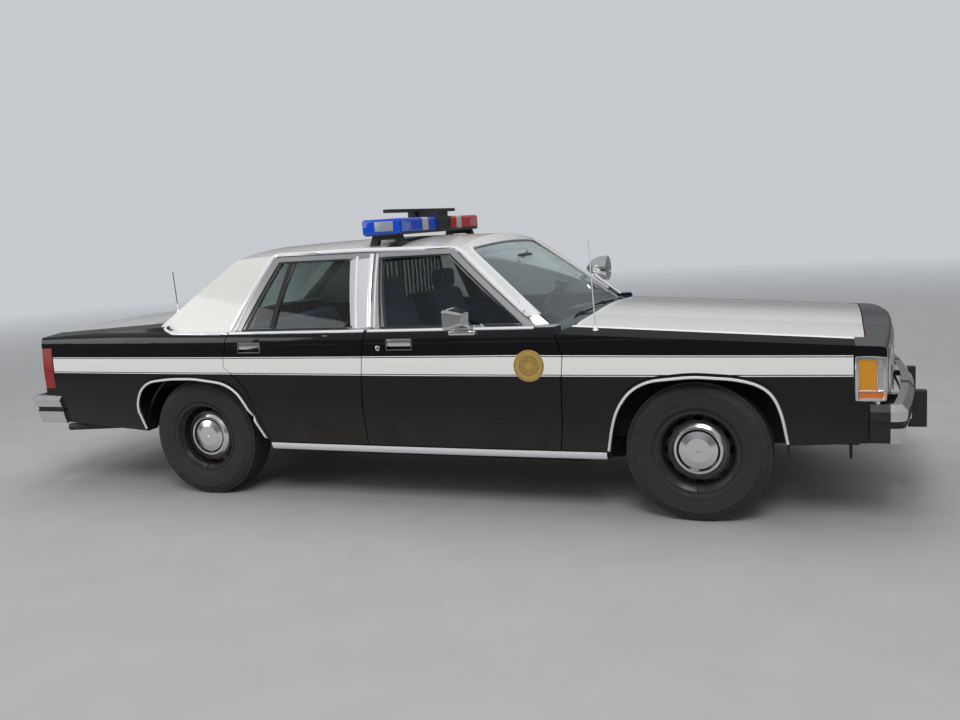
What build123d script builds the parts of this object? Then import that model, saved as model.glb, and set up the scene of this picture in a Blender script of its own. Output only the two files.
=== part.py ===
"""Police patrol car: a full-size four-door saloon with a roof lightbar.

Millimetres. The nose points along +X, the car's left is +Y and up is +Z. The origin is on
the ground at the middle of the length. Side outlines are drawn by station, which is the
distance ahead of the rear axle, and height above the ground.
"""
from build123d import *
from math import asin, cos, degrees, radians, sin, tan
import os

os.makedirs("parts", exist_ok=True)

# Overall
WHEELBASE = 2903
FRONT_REACH = 1047  # front axle to the face of the bumper guards
REAR_REACH = 1405  # rear axle to the face of the rear bumper
HALF_WIDTH = 984  # widest point of the side
ROOF_HEIGHT = 1458
MID = (WHEELBASE + FRONT_REACH - REAR_REACH) / 2  # station of the origin

# Side skin
PLAN_RADIUS = 48800  # plan curve of the sides
SIDE_CENTRE = 1272  # station of the widest point
PLAN_SWEEP = 3.7
SILL_BASE = 300
SILL_TOP = 341
CREASE_HEIGHT = 512
BELT_HEIGHT = 985
DEEP = 1100  # construction solids reach this far past the middle

# Upper side, glass and roof
GLASS_FOOT_HALF = 893  # half-width at the belt
GLASS_HEAD_HALF = 672  # half-width at the roof rail
HEAD_HEIGHT = 1388
ROOF_PEAK = 950
ROOF_RUN_RADIUS = 16000
ROOF_CROWN_RADIUS = 4200
SCREEN_FOOT = (2294, 946)  # windscreen surface on the centre line
SCREEN_HEAD = (1712, 1378)
SCREEN_RADIUS = 7007
BACKLIGHT_FOOT = (-375, 1020)
BACKLIGHT_HEAD = (150, 1395)
BACKLIGHT_RADIUS = 5265

# Walls and gaps
PANEL = 14
DOOR_THICK = 75
FRAME_THICK = 30
SIDE_WALL = 90
UPPER_WALL = 45
SEAT_GAP = 0.3  # between a closed door and what it rests on
SHUT_GAP = 5.5  # between a door and the panels around it
FLANGE = 22
LOWER_SLANT = 12
UPPER_SLANT = 27

# Hood and deck, on the centre line
BONNET_REAR = (2150, 1001)
BONNET_FRONT = (3800, 902)
BONNET_CROWN = 10045
BULGE_RISE = 8  # raised middle of the hood, which meets the rest in two soft creases
BULGE_CROWN = 5014
BULGE_HALF = 420
DECK_REAR = (-1400, 989)
DECK_FRONT = (100, 1067)
DECK_CROWN = 12000
HOOD_HALF = 742
HOOD_REAR_EDGE = 2300
HOOD_FRONT_EDGE = 3655
LID_HALF = 700
LID_FRONT_EDGE = -470
TAIL_CENTRE = -1245
TAIL_RADIUS = 5062
QUARTER_END = -1068

# Wheels
TYRE_RADIUS = 348
TYRE_WIDTH = 225
RIM_RADIUS = 195.7
TRACK_FRONT = 1580
TRACK_REAR = 1575
KNUCKLE_HALF = 720
SPINDLE_RADIUS = 16
BORE_GAP = 0.4

SIDE_AXIS_Y = PLAN_RADIUS - HALF_WIDTH

# Door outlines at the skin, as (station, height), clockwise from the rear foot
DOOR_LOW = SILL_TOP + SHUT_GAP  # the doors end above the sill, which stays with the body
FRONT_DOOR_LOWER = [(1125, DOOR_LOW), (1181, BELT_HEIGHT), (2222, BELT_HEIGHT), (2272, 840), (2251, 524),
                    (2215, DOOR_LOW)]
FRONT_DOOR_UPPER = [(1196, 984), (1143, HEAD_HEIGHT), (1612, HEAD_HEIGHT), (2108, 984)]
FRONT_WINDOW = [(1248, 993), (1180, 1352), (1590, 1352), (2034, 993)]
REAR_DOOR_LOWER = [(490, DOOR_LOW), (442, 500), (400, 660), (330, 735), (258, 790), (285, BELT_HEIGHT),
                   (1175, BELT_HEIGHT), (1119, DOOR_LOW)]
REAR_DOOR_UPPER = [(302, 984), (478, HEAD_HEIGHT), (1137, HEAD_HEIGHT), (1181, 984)]
REAR_WINDOW = [(352, 993), (520, 1352), (1088, 1352), (1125, 993)]

REAR_ARCH = [(-392, 150), (-408, 560), (-365, 662), (-285, 707), (-40, 729), (180, 714), (318, 672),
             (386, 600), (430, 480), (487, 345), (500, 150)]
FRONT_ARCH = [(2466, 150), (2498, 454), (2533, 562), (2596, 663), (2689, 716), (2900, 739), (3150, 718),
              (3230, 686), (3276, 630), (3304, 562), (3332, 150)]

DOORS = (
    # name, lower outline, upper outline, window outline
    ("front", FRONT_DOOR_LOWER, FRONT_DOOR_UPPER, FRONT_WINDOW),
    ("rear", REAR_DOOR_LOWER, REAR_DOOR_UPPER, REAR_WINDOW),
)
DOOR_HANDLES = {"front": (1387, 908), "rear": (441, 899)}  # station and height
HANDLE_LENGTH = 140
HANDLE_HEIGHT = 48
HANDLE_DEPTH = 16
LOWER_START = HALF_WIDTH + 20
UPPER_START = GLASS_FOOT_HALF + 40

# Screens
GLASS_SET = 6
GLASS_THICK = 6
DOOR_GLASS = 5
SCREEN_FRAME = ((820, 12), (572, 758))  # half-width and distance up the slope, foot and head
BACKLIGHT_FRAME = ((690, 36), (550, 640))
REAR_DIVIDER = [(518, 992), (592, 1354), (612, 1354), (540, 992)]

ROOF_SEAM = 1370  # the roof panel starts here above the pillars
HOUSE_RADIUS = 422
HOUSE_WALL = 12
HOUSE_INNER = 640  # inner face of the rear wheelhouse

# Nose
FENDER_END = 3612
FACE_CENTRE = 3800
FACE_RADIUS = 7440
HEADER_WALL = 40
HEADER_ROLL = 24
GRILLE_HALF = 330
GRILLE_LOW = 655
GRILLE_HIGH = 845
GRILLE_BAR = 5
GRILLE_BARS = 8
GRILLE_COLUMNS = 22
LAMP_NEAR = 365
LAMP_FAR = 800
LAMP_LOW = 685
LAMP_HIGH = 830
LAMP_RIM = 10
CORNER_HALF = 830
CORNER_HIGH = 816

# Tail
TAIL_LOW = 425
TAIL_WALL = 55
TAIL_LAMP_NEAR = 345
TAIL_LAMP_FRONT = -1078
TAIL_LAMP_LOW = 648
TAIL_LAMP_HIGH = 903

# Bumpers
FRONT_FACE = 3905
BUMPER_HALF = 946
BUMPER_CORNER = 60
# sections as (distance outside the face, height), from the lower lip round the groove to the sloping top
FRONT_BUMPER = [(-60, 425), (-30, 425), (-14, 470), (-8, 498), (-18, 502), (-16, 526), (-5, 530), (0, 574),
                (-26, 604), (-60, 604)]
REAR_BUMPER = [(-58, 420), (-40, 420), (-20, 500), (-29, 504), (-27, 526), (-14, 530), (0, 576), (-28, 600),
               (-58, 600)]
GUARD_HEIGHT = (380, 560)
GUARD_DEPTH = 90
GUARD_WIDTH = 60
GUARD_SPREAD = 350

# Running gear
SLOT_CIRCLE = 158
SLOT_COUNT = 12
HUBCAP_RADIUS = 133
AXLE_TUBE_HALF = 690
AXLE_TUBE_RADIUS = 38
DIFFERENTIAL_RADIUS = 125
SPINDLE_STUB = 20  # spindles reach this far past the wheel's middle
KNUCKLE_RADIUS = 46
KNUCKLE_THICK = 24
KNUCKLE_WIDTH = 40
STEER_ARM = 130
KNUCKLE_SET = 14  # the knuckle's inner face lies this far inboard of its pivot
RAIL_REAR_LOW = 470

# Underbody
RAIL_LOW = 225
RAIL_HIGH = 315
RAIL_FRONT = (400, 460)  # y values of the rails ahead of the front axle
RAIL_REAR = (440, 500)  # and behind the cabin
TRUNK_FLOOR = 540
TRUNK_REAR = -1066
FIREWALL = (2346, 2358)  # stations of the faces
CARRIER = (3590, 3602)
APRON = (478, 490)  # y values of the faces
HORN_FRONT = 3640
FLOOR_HEIGHT = 322
FLOOR_THICK = 12
FLOOR_FRONT = 2345  # the floor and the sides end at the firewall
TUNNEL_HALF = 150
TUNNEL_REAR_HEIGHT = 398
TUNNEL_CLIMB = 28
APRON_TOP = 846
PIPE_RADIUS = 24
PIPE_WALL = 3
OUTLET_DEPTH = 160
ARM_RISE = 100  # arms above and below the axle line
ARM_THICK = 18
CROSS_TOP = 285
SHAFT_RADIUS = 30
GEARBOX_REAR = 2080  # the gearbox is part of the plain engine block
GEARBOX_HALF = 112
NOSE_RAIL_LOW = 300  # rails ahead of the front axle
NOSE_RAIL_HIGH = 385
SPRING_RADIUS = 48
SPRING_SPREAD = 548
SILENCER = (900, 1420, 205)  # rear, front, height
EXHAUST_FRONT = [(2600, -262, 330), (2420, -340, 190), (1400, -345, 190)]
EXHAUST_REAR = [(930, -345, 200), (660, -345, 190), (470, -345, 385), (310, -570, 425), (-260, -570, 436),
                (-700, -575, 350), (-1290, -640, 330)]

# Cabin
FRONT_CUSHION = [(0, 460), (0, 600), (120, 610), (480, 640), (520, 620), (520, 480), (440, 440)]
FRONT_BACK = [(-20, 480), (-190, 1090), (-130, 1130), (-70, 1100), (110, 590), (80, 480)]
HEAD_REST = [(-195, 1085), (-225, 1225), (-150, 1235), (-110, 1095)]
HEAD_REST_HALF = 135
REAR_CUSHION = [(20, 552.3), (20, 640), (120, 650), (500, 690), (530, 660), (530, 558), (200, 552.3)]
REAR_BACK = [(-60, 552.3), (-250, 980), (-190, 1015), (-120, 990), (110, 620), (90, 552.3)]
FRONT_SEAT = 1240
FRONT_SEAT_SPAN = (90, 690)  # y values
REAR_SEAT = 300
REAR_SEAT_HALF = 625
PARTITION_STATION = 960
PARTITION_OUTLINE = [(-720, 500), (-720, 960), (-590, 1330), (590, 1330), (720, 960), (720, 500)]
PARTITION_FRAME = 22
PARTITION_THICK = 14
PARTITION_BARS = 19
STEER_CENTRE = (1800, 380, 905)
STEER_RADIUS = 185
STEER_GRIP = 13
STEER_TILT = 25

# Lightbar
BAR_REAR = 1030
BAR_FRONT = 1270
BAR_HALF = 600
BAR_LOW = 1477
BAR_HIGH = 1570
BAR_FOOT = 1400
BAR_TRAY = 16
BAR_GAP = 96
BAR_CORNER = 30
BAR_LOUVRES = 4
BAR_ARCH = [(1036, BAR_FOOT), (1082, BAR_FOOT), (1100, 1452), (1205, 1452), (1226, BAR_FOOT),
            (1270, BAR_FOOT), (1240, BAR_LOW), (1064, BAR_LOW)]
BAR_SECTIONS = ((BAR_GAP + SEAT_GAP, 221), (221 + SEAT_GAP, 305), (305 + SEAT_GAP, BAR_HALF))
SLAT_WIDTH = 40
SLAT_HALF = 500
BAR_CAP = (80, 38)  # half-width and height of the cap on the middle housing
BAR_FOOT_PLACE = 540

# Aerials, spotlight
FENDER_AERIAL = (2418, -845)
SPOT_PLACE = (2010 - MID, 905, 1155)
SPOT_ARM = (-0.25, -0.85, -0.45)
SPOT_ARM_LENGTH = 130

# Door mirrors, as seen from ahead
MIRROR_REAR = 1694
MIRROR_HEAD = (168, 102)
MIRROR_MIDDLE = (-1006, 1041)
MIRROR_ARM = [(-906, BELT_HEIGHT + SEAT_GAP), (-936, BELT_HEIGHT + SEAT_GAP), (-1010, 1022), (-1010, 1050),
              (-986, 1050), (-934, 1018), (-906, 1006)]

# Deck lid
LID_LIP = 915
LID_DROP = 700
LID_DROP_HALF = 330
LID_AERIAL = (-820, 1010)  # station and height inside the lid's skin
PLATE_BRACKET = (320, 172)
PLATE_MIDDLE = 800
PLATE_FACE = -1254
PLATE_HOLE_SPACING = 178
PLATE_HOLE_RADIUS = 3.4
PLATE_HOLE_HEIGHT = 862


def side(y=0.0):
    """Upright plane along the car: local (station, height)."""
    return Plane(origin=(-MID, y, 0), x_dir=(1, 0, 0), z_dir=(0, -1, 0))


def cross(station):
    """Upright plane across the car: local (y, height)."""
    return Plane(origin=(station - MID, 0, 0), x_dir=(0, 1, 0), z_dir=(1, 0, 0))


def level(height):
    """Level plane: local (station, y)."""
    return Plane(origin=(-MID, 0, height))


def sweep_plane():
    """Section plane of the right side at the tail end of its plan curve."""
    turn = radians(-PLAN_SWEEP)
    out = Vector(sin(turn), -cos(turn), 0)
    return Plane(origin=(SIDE_CENTRE - MID, SIDE_AXIS_Y, 0), x_dir=out, z_dir=out.cross(Vector(0, 0, 1)))


def lower_flank(inset):
    """All that lies inboard of the right lower skin, less an inset."""
    out = SIDE_AXIS_Y - inset
    inner = SIDE_AXIS_Y - DEEP
    with BuildPart() as flank:
        with BuildSketch(sweep_plane()):
            with BuildLine():
                Polyline((out + 930, BELT_HEIGHT + 5), (out + 878, 1070), (inner, 1070), (inner, 200),
                         (out + 905, 200), (out + 905, SILL_BASE), (out + 921, SILL_TOP),
                         (out + 962, CREASE_HEIGHT), (out + 966, CREASE_HEIGHT + 8))
                ThreePointArc((out + 966, CREASE_HEIGHT + 8), (out + HALF_WIDTH, 735), (out + 973, 912))
                ThreePointArc((out + 973, 912), (out + 961, 962), (out + 930, BELT_HEIGHT + 5))
            make_face()
        revolve(axis=Axis((SIDE_CENTRE - MID, SIDE_AXIS_Y, 0), (0, 0, 1)), revolution_arc=2 * PLAN_SWEEP)
    return flank.part


def upper_flank(inset):
    """All that lies inboard of the right side glass and roof rail, less an inset."""
    out = SIDE_AXIS_Y - inset
    inner = SIDE_AXIS_Y - DEEP
    with BuildPart() as flank:
        with BuildSketch(sweep_plane()):
            with BuildLine():
                Polyline((out + GLASS_HEAD_HALF, HEAD_HEIGHT + 8), (out + 610, 1480), (inner, 1480),
                         (inner, 920), (out + 915, 920))
                ThreePointArc((out + 915, 920), (out + 797, 1185), (out + GLASS_HEAD_HALF, HEAD_HEIGHT + 8))
            make_face()
        revolve(axis=Axis((SIDE_CENTRE - MID, SIDE_AXIS_Y, 0), (0, 0, 1)), revolution_arc=2 * PLAN_SWEEP)
    return flank.part


def crown_plane(axis_height, reach, radius):
    """Section plane of a crowned top, turned to the left end of its crown."""
    turn = asin(reach / radius)
    return Plane(origin=(-MID, 0, axis_height), x_dir=(1, 0, 0), z_dir=(0, -cos(turn), sin(turn)))


def crowned_top(rear, front, radius, drop):
    """All that lies under a crowned top with a straight centre line."""
    axis_height = rear[1] - radius
    turn = degrees(asin(DEEP / radius))
    with BuildPart() as top:
        with BuildSketch(crown_plane(axis_height, DEEP, radius)):
            with BuildLine():
                Polyline((rear[0], 150 - axis_height), (front[0], 150 - axis_height),
                         (front[0], front[1] - drop - axis_height), (rear[0], rear[1] - drop - axis_height),
                         close=True)
            make_face()
        revolve(axis=Axis((-MID, 0, axis_height), (1, 0, 0)), revolution_arc=2 * turn)
    return top.part


def roof_top(drop):
    """All that lies under the roof, which curves along and across the car."""
    axis_height = ROOF_HEIGHT - ROOF_CROWN_RADIUS
    turn = degrees(asin(DEEP / ROOF_CROWN_RADIUS))
    rear, front, peak = -900, 2500, ROOF_CROWN_RADIUS - drop

    def height(station):
        return peak - (station - ROOF_PEAK) ** 2 / (2 * ROOF_RUN_RADIUS)

    with BuildPart() as top:
        with BuildSketch(crown_plane(axis_height, DEEP, ROOF_CROWN_RADIUS)):
            with BuildLine():
                ThreePointArc((rear, height(rear)), (ROOF_PEAK, peak), (front, height(front)))
                Polyline((front, height(front)), (front, 700 - axis_height), (rear, 700 - axis_height),
                         (rear, height(rear)))
            make_face()
        revolve(axis=Axis((-MID, 0, axis_height), (1, 0, 0)), revolution_arc=2 * turn)
    return top.part


def glass_plane(foot, head, across):
    """Plane square to the slope of a screen: local (across, inward)."""
    slope = Vector(head[0] - foot[0], 0, head[1] - foot[1]).normalized()
    return Plane(origin=(foot[0] - MID, 0, foot[1]), x_dir=(0, across, 0), z_dir=slope)


def behind_screen(foot, head, radius, across, inset):
    """All that lies inboard of a bowed screen, less an inset."""
    reach = 1000
    sag = reach ** 2 / (2 * radius)
    with BuildPart() as solid:
        with BuildSketch(glass_plane(foot, head, across).offset(-700)):
            with BuildLine():
                ThreePointArc((-reach, sag + inset), (0, inset), (reach, sag + inset))
                Polyline((reach, sag + inset), (reach, 3200), (-reach, 3200), (-reach, sag + inset))
            make_face()
        extrude(amount=3600)
    return solid.part


def windscreen_side(inset):
    return behind_screen(SCREEN_FOOT, SCREEN_HEAD, SCREEN_RADIUS, 1, inset)


def backlight_side(inset):
    return behind_screen(BACKLIGHT_FOOT, BACKLIGHT_HEAD, BACKLIGHT_RADIUS, -1, inset)


def nose_height(station, y):
    """Height of the hood and fender tops."""
    run = (station - BONNET_REAR[0]) / (BONNET_FRONT[0] - BONNET_REAR[0])
    centre = BONNET_REAR[1] + run * (BONNET_FRONT[1] - BONNET_REAR[1])
    return centre - y ** 2 / (2 * BONNET_CROWN)


def nose_volume(inset):
    """Fenders and hood as one full body."""
    with BuildPart() as volume:
        add(lower_flank(inset))
        mirror(lower_flank(inset), about=Plane.XZ, mode=Mode.INTERSECT)
        add(crowned_top(BONNET_REAR, BONNET_FRONT, BONNET_CROWN, inset), mode=Mode.INTERSECT)
    return volume.part


def tail_volume(inset):
    """Quarters and deck as one full body, up to the bowed tail."""
    with BuildPart() as volume:
        add(lower_flank(inset))
        mirror(lower_flank(inset), about=Plane.XZ, mode=Mode.INTERSECT)
        add(crowned_top(DECK_REAR, DECK_FRONT, DECK_CROWN, inset), mode=Mode.INTERSECT)
        with BuildSketch(level(150)):
            with Locations((TAIL_CENTRE + TAIL_RADIUS, 0)):
                Circle(TAIL_RADIUS - inset)
        extrude(amount=1100, mode=Mode.INTERSECT)
    return volume.part


def cabin_volume(inset):
    """Roof and upper sides as one full body."""
    with BuildPart() as volume:
        add(upper_flank(inset))
        mirror(upper_flank(inset), about=Plane.XZ, mode=Mode.INTERSECT)
        add(roof_top(inset), mode=Mode.INTERSECT)
        add(windscreen_side(inset), mode=Mode.INTERSECT)
        add(backlight_side(inset), mode=Mode.INTERSECT)
    return volume.part


def shell(volume, inset):
    """Skin of one of the full bodies, as thick as the inset."""
    with BuildPart() as skin:
        add(volume(0))
        add(volume(inset), mode=Mode.SUBTRACT)
    return skin.part


def lean(height):
    """How far inboard of the belt the side glass lies at a height."""
    return (height - BELT_HEIGHT) * (GLASS_FOOT_HALF - GLASS_HEAD_HALF) / (HEAD_HEIGHT - BELT_HEIGHT)


def upper_points(points):
    """Outline on the leaning glass, brought out to the belt along the shut lines."""
    return [(x - lean(z) * tan(radians(UPPER_SLANT)), z) for x, z in points]


def shut_prism(points, half, slant, depth, grow=0.0):
    """Right-hand outline swept inboard along its shut line, grown or shrunk."""
    run = radians(slant)
    with BuildPart() as prism:
        with BuildSketch(side(-half)):
            with BuildLine():
                Polyline(*points, close=True)
            make_face()
            if grow:
                offset(amount=grow, kind=Kind.INTERSECTION, mode=Mode.REPLACE)
        extrude(amount=depth / cos(run), dir=(sin(run), cos(run), 0))
    return prism.part


def outward(points, slant, move):
    """The same outline, drawn further outboard along its shut line."""
    return [(x - move * tan(radians(slant)), z) for x, z in points]


def write(builder, name):
    builder.part.label = name
    export_step(builder.part, f"parts/{name}.step")


def box_between(station, y, height):
    """Block between pairs of stations, y values and heights."""
    with BuildPart() as block:
        with BuildSketch(level(height[0])):
            with Locations(((station[0] + station[1]) / 2, (y[0] + y[1]) / 2)):
                Rectangle(station[1] - station[0], y[1] - y[0])
        extrude(amount=height[1] - height[0])
    return block.part


def across(hand, near, far):
    """Pair of y values on one hand of the car, the lower first."""
    return sorted((hand * near, hand * far))


def side_prism(points, y_from, y_to):
    """Side outline extruded across the car between two y values."""
    with BuildPart() as prism:
        with BuildSketch(side(y_to)):
            with BuildLine():
                Polyline(*points, close=True)
            make_face()
        extrude(amount=y_to - y_from)
    return prism.part


# Full bodies and skins that the panels are cut from
nose_skin = shell(nose_volume, PANEL)
tail_skin = shell(tail_volume, PANEL + 2)
cabin_skin = shell(cabin_volume, UPPER_WALL)


def lower_prism(points, grow=0.0, depth=400):
    """Lower door outline swept inboard from outside the skin."""
    moved = outward(points, LOWER_SLANT, LOWER_START - (HALF_WIDTH - 20))
    return shut_prism(moved, LOWER_START, LOWER_SLANT, depth, grow)


def upper_prism(points, grow=0.0, depth=460):
    """Upper door outline swept inboard from outside the glass."""
    moved = outward(upper_points(points), UPPER_SLANT, UPPER_START - GLASS_FOOT_HALF)
    return shut_prism(moved, UPPER_START, UPPER_SLANT, depth, grow)


def raised(points):
    """Door outline carried above the belt, for the way through the body."""
    return [(x, z + 3 * FLANGE if z == BELT_HEIGHT else z) for x, z in points]


def lowered(points):
    """Window frame outline carried below the belt, for the way through the body."""
    return [(x, z - 3 * FLANGE if z < BELT_HEIGHT else z) for x, z in points]


def screen_opening(foot, head, across, frame, grow):
    """Block through the cabin skin where a screen sits."""
    (low_half, low), (high_half, high) = frame
    square = glass_plane(foot, head, across)
    face = Plane(origin=square.origin - square.y_dir * 60, x_dir=square.x_dir, z_dir=square.y_dir)
    up = 1 if face.y_dir.Z > 0 else -1
    with BuildPart() as block:
        with BuildSketch(face) as trapezium:
            with BuildLine():
                Polyline((-low_half - grow, up * (low - grow)), (low_half + grow, up * (low - grow)),
                         (high_half + grow, up * (high + grow)), (-high_half - grow, up * (high + grow)),
                         close=True)
            make_face()
            fillet(trapezium.vertices(), 45)
        extrude(amount=320)
    return block.part


SCREEN_OPENING = screen_opening(SCREEN_FOOT, SCREEN_HEAD, 1, SCREEN_FRAME, 0)
BACKLIGHT_OPENING = screen_opening(BACKLIGHT_FOOT, BACKLIGHT_HEAD, -1, BACKLIGHT_FRAME, 0)


def wheelhouse():
    """Rear wheelhouse: an arched wall and its inner cheek."""
    with BuildPart() as house:
        with BuildSketch(side(-HOUSE_INNER)):
            with Locations((0, TYRE_RADIUS)):
                Circle(HOUSE_RADIUS)
        extrude(amount=250)
        with BuildSketch(side(-HOUSE_INNER - HOUSE_WALL)):
            with Locations((0, TYRE_RADIUS)):
                Circle(HOUSE_RADIUS - HOUSE_WALL)
        extrude(amount=250, mode=Mode.SUBTRACT)
        add(box_between((-600, 600), (-1000, -500), (-200, 400)), mode=Mode.SUBTRACT)
    return house.part


def body_side():
    """Right body side: sill, hinge post, quarter, wheelhouse and the A and B pillars."""
    with BuildPart() as panel:
        add(lower_flank(0))
        add(lower_flank(SIDE_WALL), mode=Mode.SUBTRACT)
        add(side_prism([(QUARTER_END, 425), (-417, 385), (480, SILL_BASE), (2466, SILL_BASE),
                        (2466, SILL_TOP), (FLOOR_FRONT, SILL_TOP), (FLOOR_FRONT, 925), (2236, 925),
                        (2236, BELT_HEIGHT), (-80, BELT_HEIGHT), (-150, 997), (-192, 1010), (-192, 1100),
                        (QUARTER_END, 1100)],
                       -1100, -500), mode=Mode.INTERSECT)
        add(crowned_top(DECK_REAR, (2600, 1197), DECK_CROWN, 0), mode=Mode.INTERSECT)
        # the front fender laps over the hinge post
        add(side_prism([(2190, SILL_TOP), (2500, SILL_TOP), (2500, 1100), (2190, 1100)], -1100, -500) -
            lower_flank(PANEL + SEAT_GAP), mode=Mode.SUBTRACT)
        # top of the quarter beside the deck lid
        add(tail_skin & box_between((QUARTER_END, -192), (-1000, -LID_HALF - SHUT_GAP), (700, 1100)))
        # ledge that the deck lid rests on
        ledge = box_between((QUARTER_END, LID_FRONT_EDGE + 20), (-LID_HALF - 20, -LID_HALF + 25), (700, 1100))
        add((tail_volume(PANEL + 2 + SEAT_GAP) - tail_volume(PANEL + 16)) & ledge)
        ledge = box_between((QUARTER_END, LID_FRONT_EDGE + 20), (-LID_HALF - 20, -LID_HALF - SHUT_GAP),
                            (700, 1100))
        add((tail_volume(PANEL) - tail_volume(PANEL + 16)) & ledge)
        add(side_prism(REAR_ARCH, -1100, -500), mode=Mode.SUBTRACT)
        add(wheelhouse())
        # pillars
        add((cabin_skin - SCREEN_OPENING) & box_between((700, 2330), (-1000, -540), (BELT_HEIGHT, ROOF_SEAM)))
        for name, lower, upper, window in DOORS:
            add(lower_prism(lower, SHUT_GAP) - lower_flank(DOOR_THICK + SEAT_GAP), mode=Mode.SUBTRACT)
            add(upper_prism(upper, SHUT_GAP) - upper_flank(FRAME_THICK + SEAT_GAP), mode=Mode.SUBTRACT)
            add(lower_prism(raised(lower), -FLANGE), mode=Mode.SUBTRACT)
            add(upper_prism(lowered(upper), -FLANGE), mode=Mode.SUBTRACT)
    return panel


body_side_right = body_side()
write(body_side_right, "body_side_right")
with BuildPart() as body_side_left:
    mirror(body_side_right.part, about=Plane.XZ)
write(body_side_left, "body_side_left")

# Roof with its side rails and C pillars
with BuildPart() as roof_panel:
    add(cabin_skin)
    add(side_prism([(2300, ROOF_SEAM), (700, ROOF_SEAM), (700, BELT_HEIGHT), (-80, BELT_HEIGHT),
                    (-150, 997), (-192, 1010), (-700, 900), (-700, 1500), (2300, 1500)], -1000, 1000),
        mode=Mode.INTERSECT)
    add(tail_volume(0) & box_between((-700, -192), (-1000, 1000), (700, 1100)), mode=Mode.SUBTRACT)
    for name, lower, upper, window in DOORS:
        for tool in (upper_prism(upper, SHUT_GAP) - upper_flank(FRAME_THICK + SEAT_GAP),
                     lower_prism(lower, SHUT_GAP) - lower_flank(DOOR_THICK + SEAT_GAP),
                     upper_prism(lowered(upper), -FLANGE)):
            add(tool, mode=Mode.SUBTRACT)
            mirror(tool, about=Plane.XZ, mode=Mode.SUBTRACT)
    for opening in (SCREEN_OPENING, BACKLIGHT_OPENING):
        add(opening, mode=Mode.SUBTRACT)
write(roof_panel, "roof_panel")


# Windscreen and rear window
def pane(opening, volume_side):
    """Bowed pane that fills an opening in the cabin skin."""
    with BuildPart() as glass:
        add(opening)
        add(volume_side(GLASS_SET), mode=Mode.INTERSECT)
        add(volume_side(GLASS_SET + GLASS_THICK), mode=Mode.SUBTRACT)
    return glass


windshield = pane(screen_opening(SCREEN_FOOT, SCREEN_HEAD, 1, SCREEN_FRAME, -SEAT_GAP), windscreen_side)
write(windshield, "windshield")
rear_window = pane(screen_opening(BACKLIGHT_FOOT, BACKLIGHT_HEAD, -1, BACKLIGHT_FRAME, -SEAT_GAP),
                   backlight_side)
write(rear_window, "rear_window")


# Doors
def door(name, lower, upper, window):
    """Right door with its window frame."""
    with BuildPart() as leaf:
        add(lower_prism(lower) & (lower_flank(0) - lower_flank(DOOR_THICK)))
        add(upper_prism(upper) & (upper_flank(0) - upper_flank(FRAME_THICK)) &
            box_between((0, 2400), (-1000, -400), (BELT_HEIGHT, 1500)))
        add(upper_prism(window) & box_between((0, 2400), (-1000, -400), (BELT_HEIGHT + 2, 1500)),
            mode=Mode.SUBTRACT)
        if name == "rear":
            add(upper_prism(REAR_DIVIDER) & (upper_flank(6) - upper_flank(FRAME_THICK - 4)))
        # pocket of the pull handle, with the paddle hinged at its top
        station, height = DOOR_HANDLES[name]
        left, right = station - HANDLE_LENGTH / 2, station + HANDLE_LENGTH / 2
        low, high = height - HANDLE_HEIGHT / 2, height + HANDLE_HEIGHT / 2
        pocket = box_between((left, right), (-1000, -900), (low, high))
        add(pocket - lower_flank(HANDLE_DEPTH), mode=Mode.SUBTRACT)
        paddle = box_between((left + 4, right - 4), (-1000, -900), (low + 16, high + 2))
        add(paddle & (lower_flank(0) - lower_flank(5)))
        add(box_between((left, right), (-1000, -900), (high - 6, high + 2)) &
            (lower_flank(0) - lower_flank(HANDLE_DEPTH + 2)))
    return leaf


def door_glass(name, window):
    """Side glass of a right door, inside its frame."""
    with BuildPart() as glass:
        add(upper_prism(window, -SEAT_GAP) & (upper_flank(GLASS_SET + 8) -
                                              upper_flank(GLASS_SET + 8 + DOOR_GLASS)))
        if name == "rear":
            add(upper_prism(REAR_DIVIDER, SEAT_GAP), mode=Mode.SUBTRACT)
    return glass


for door_name, lower_points, upper_outline, window_points in DOORS:
    leaf = door(door_name, lower_points, upper_outline, window_points)
    pane_glass = door_glass(door_name, window_points)
    for piece, piece_name in ((leaf, "door"), (pane_glass, "door_glass")):
        write(piece, f"{door_name}_{piece_name}_right")
        with BuildPart() as left_piece:
            mirror(piece.part, about=Plane.XZ)
        write(left_piece, f"{door_name}_{piece_name}_left")


# Front fenders
with BuildPart() as fender_right:
    add(nose_skin)
    add(side_prism([(2190, 345), (2190, 900), (2241, 920), (2241, 1100), (FENDER_END, 1100),
                    (FENDER_END, 622), (3700, 610), (3732, 418), (3330, 396), (3330, 345)], -1100,
                   -HOOD_HALF - SHUT_GAP), mode=Mode.INTERSECT)
    add(side_prism(FRONT_ARCH, -1100, -700), mode=Mode.SUBTRACT)
    add(lower_prism(FRONT_DOOR_LOWER, SHUT_GAP), mode=Mode.SUBTRACT)
write(fender_right, "fender_right")
with BuildPart() as fender_left:
    mirror(fender_right.part, about=Plane.XZ)
write(fender_left, "fender_left")


def hood_bulge():
    """Raised middle of the hood and of the header panel ahead of it."""
    rear = (BONNET_REAR[0], BONNET_REAR[1] + BULGE_RISE)
    front = (BONNET_FRONT[0], BONNET_FRONT[1] + BULGE_RISE)
    with BuildPart() as bulge:
        add(crowned_top(rear, front, BULGE_CROWN, 0))
        add(box_between((BONNET_REAR[0], BONNET_FRONT[0]), (-BULGE_HALF, BULGE_HALF), (800, 1100)),
            mode=Mode.INTERSECT)
        add(nose_volume(PANEL), mode=Mode.SUBTRACT)
    return bulge.part


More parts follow.
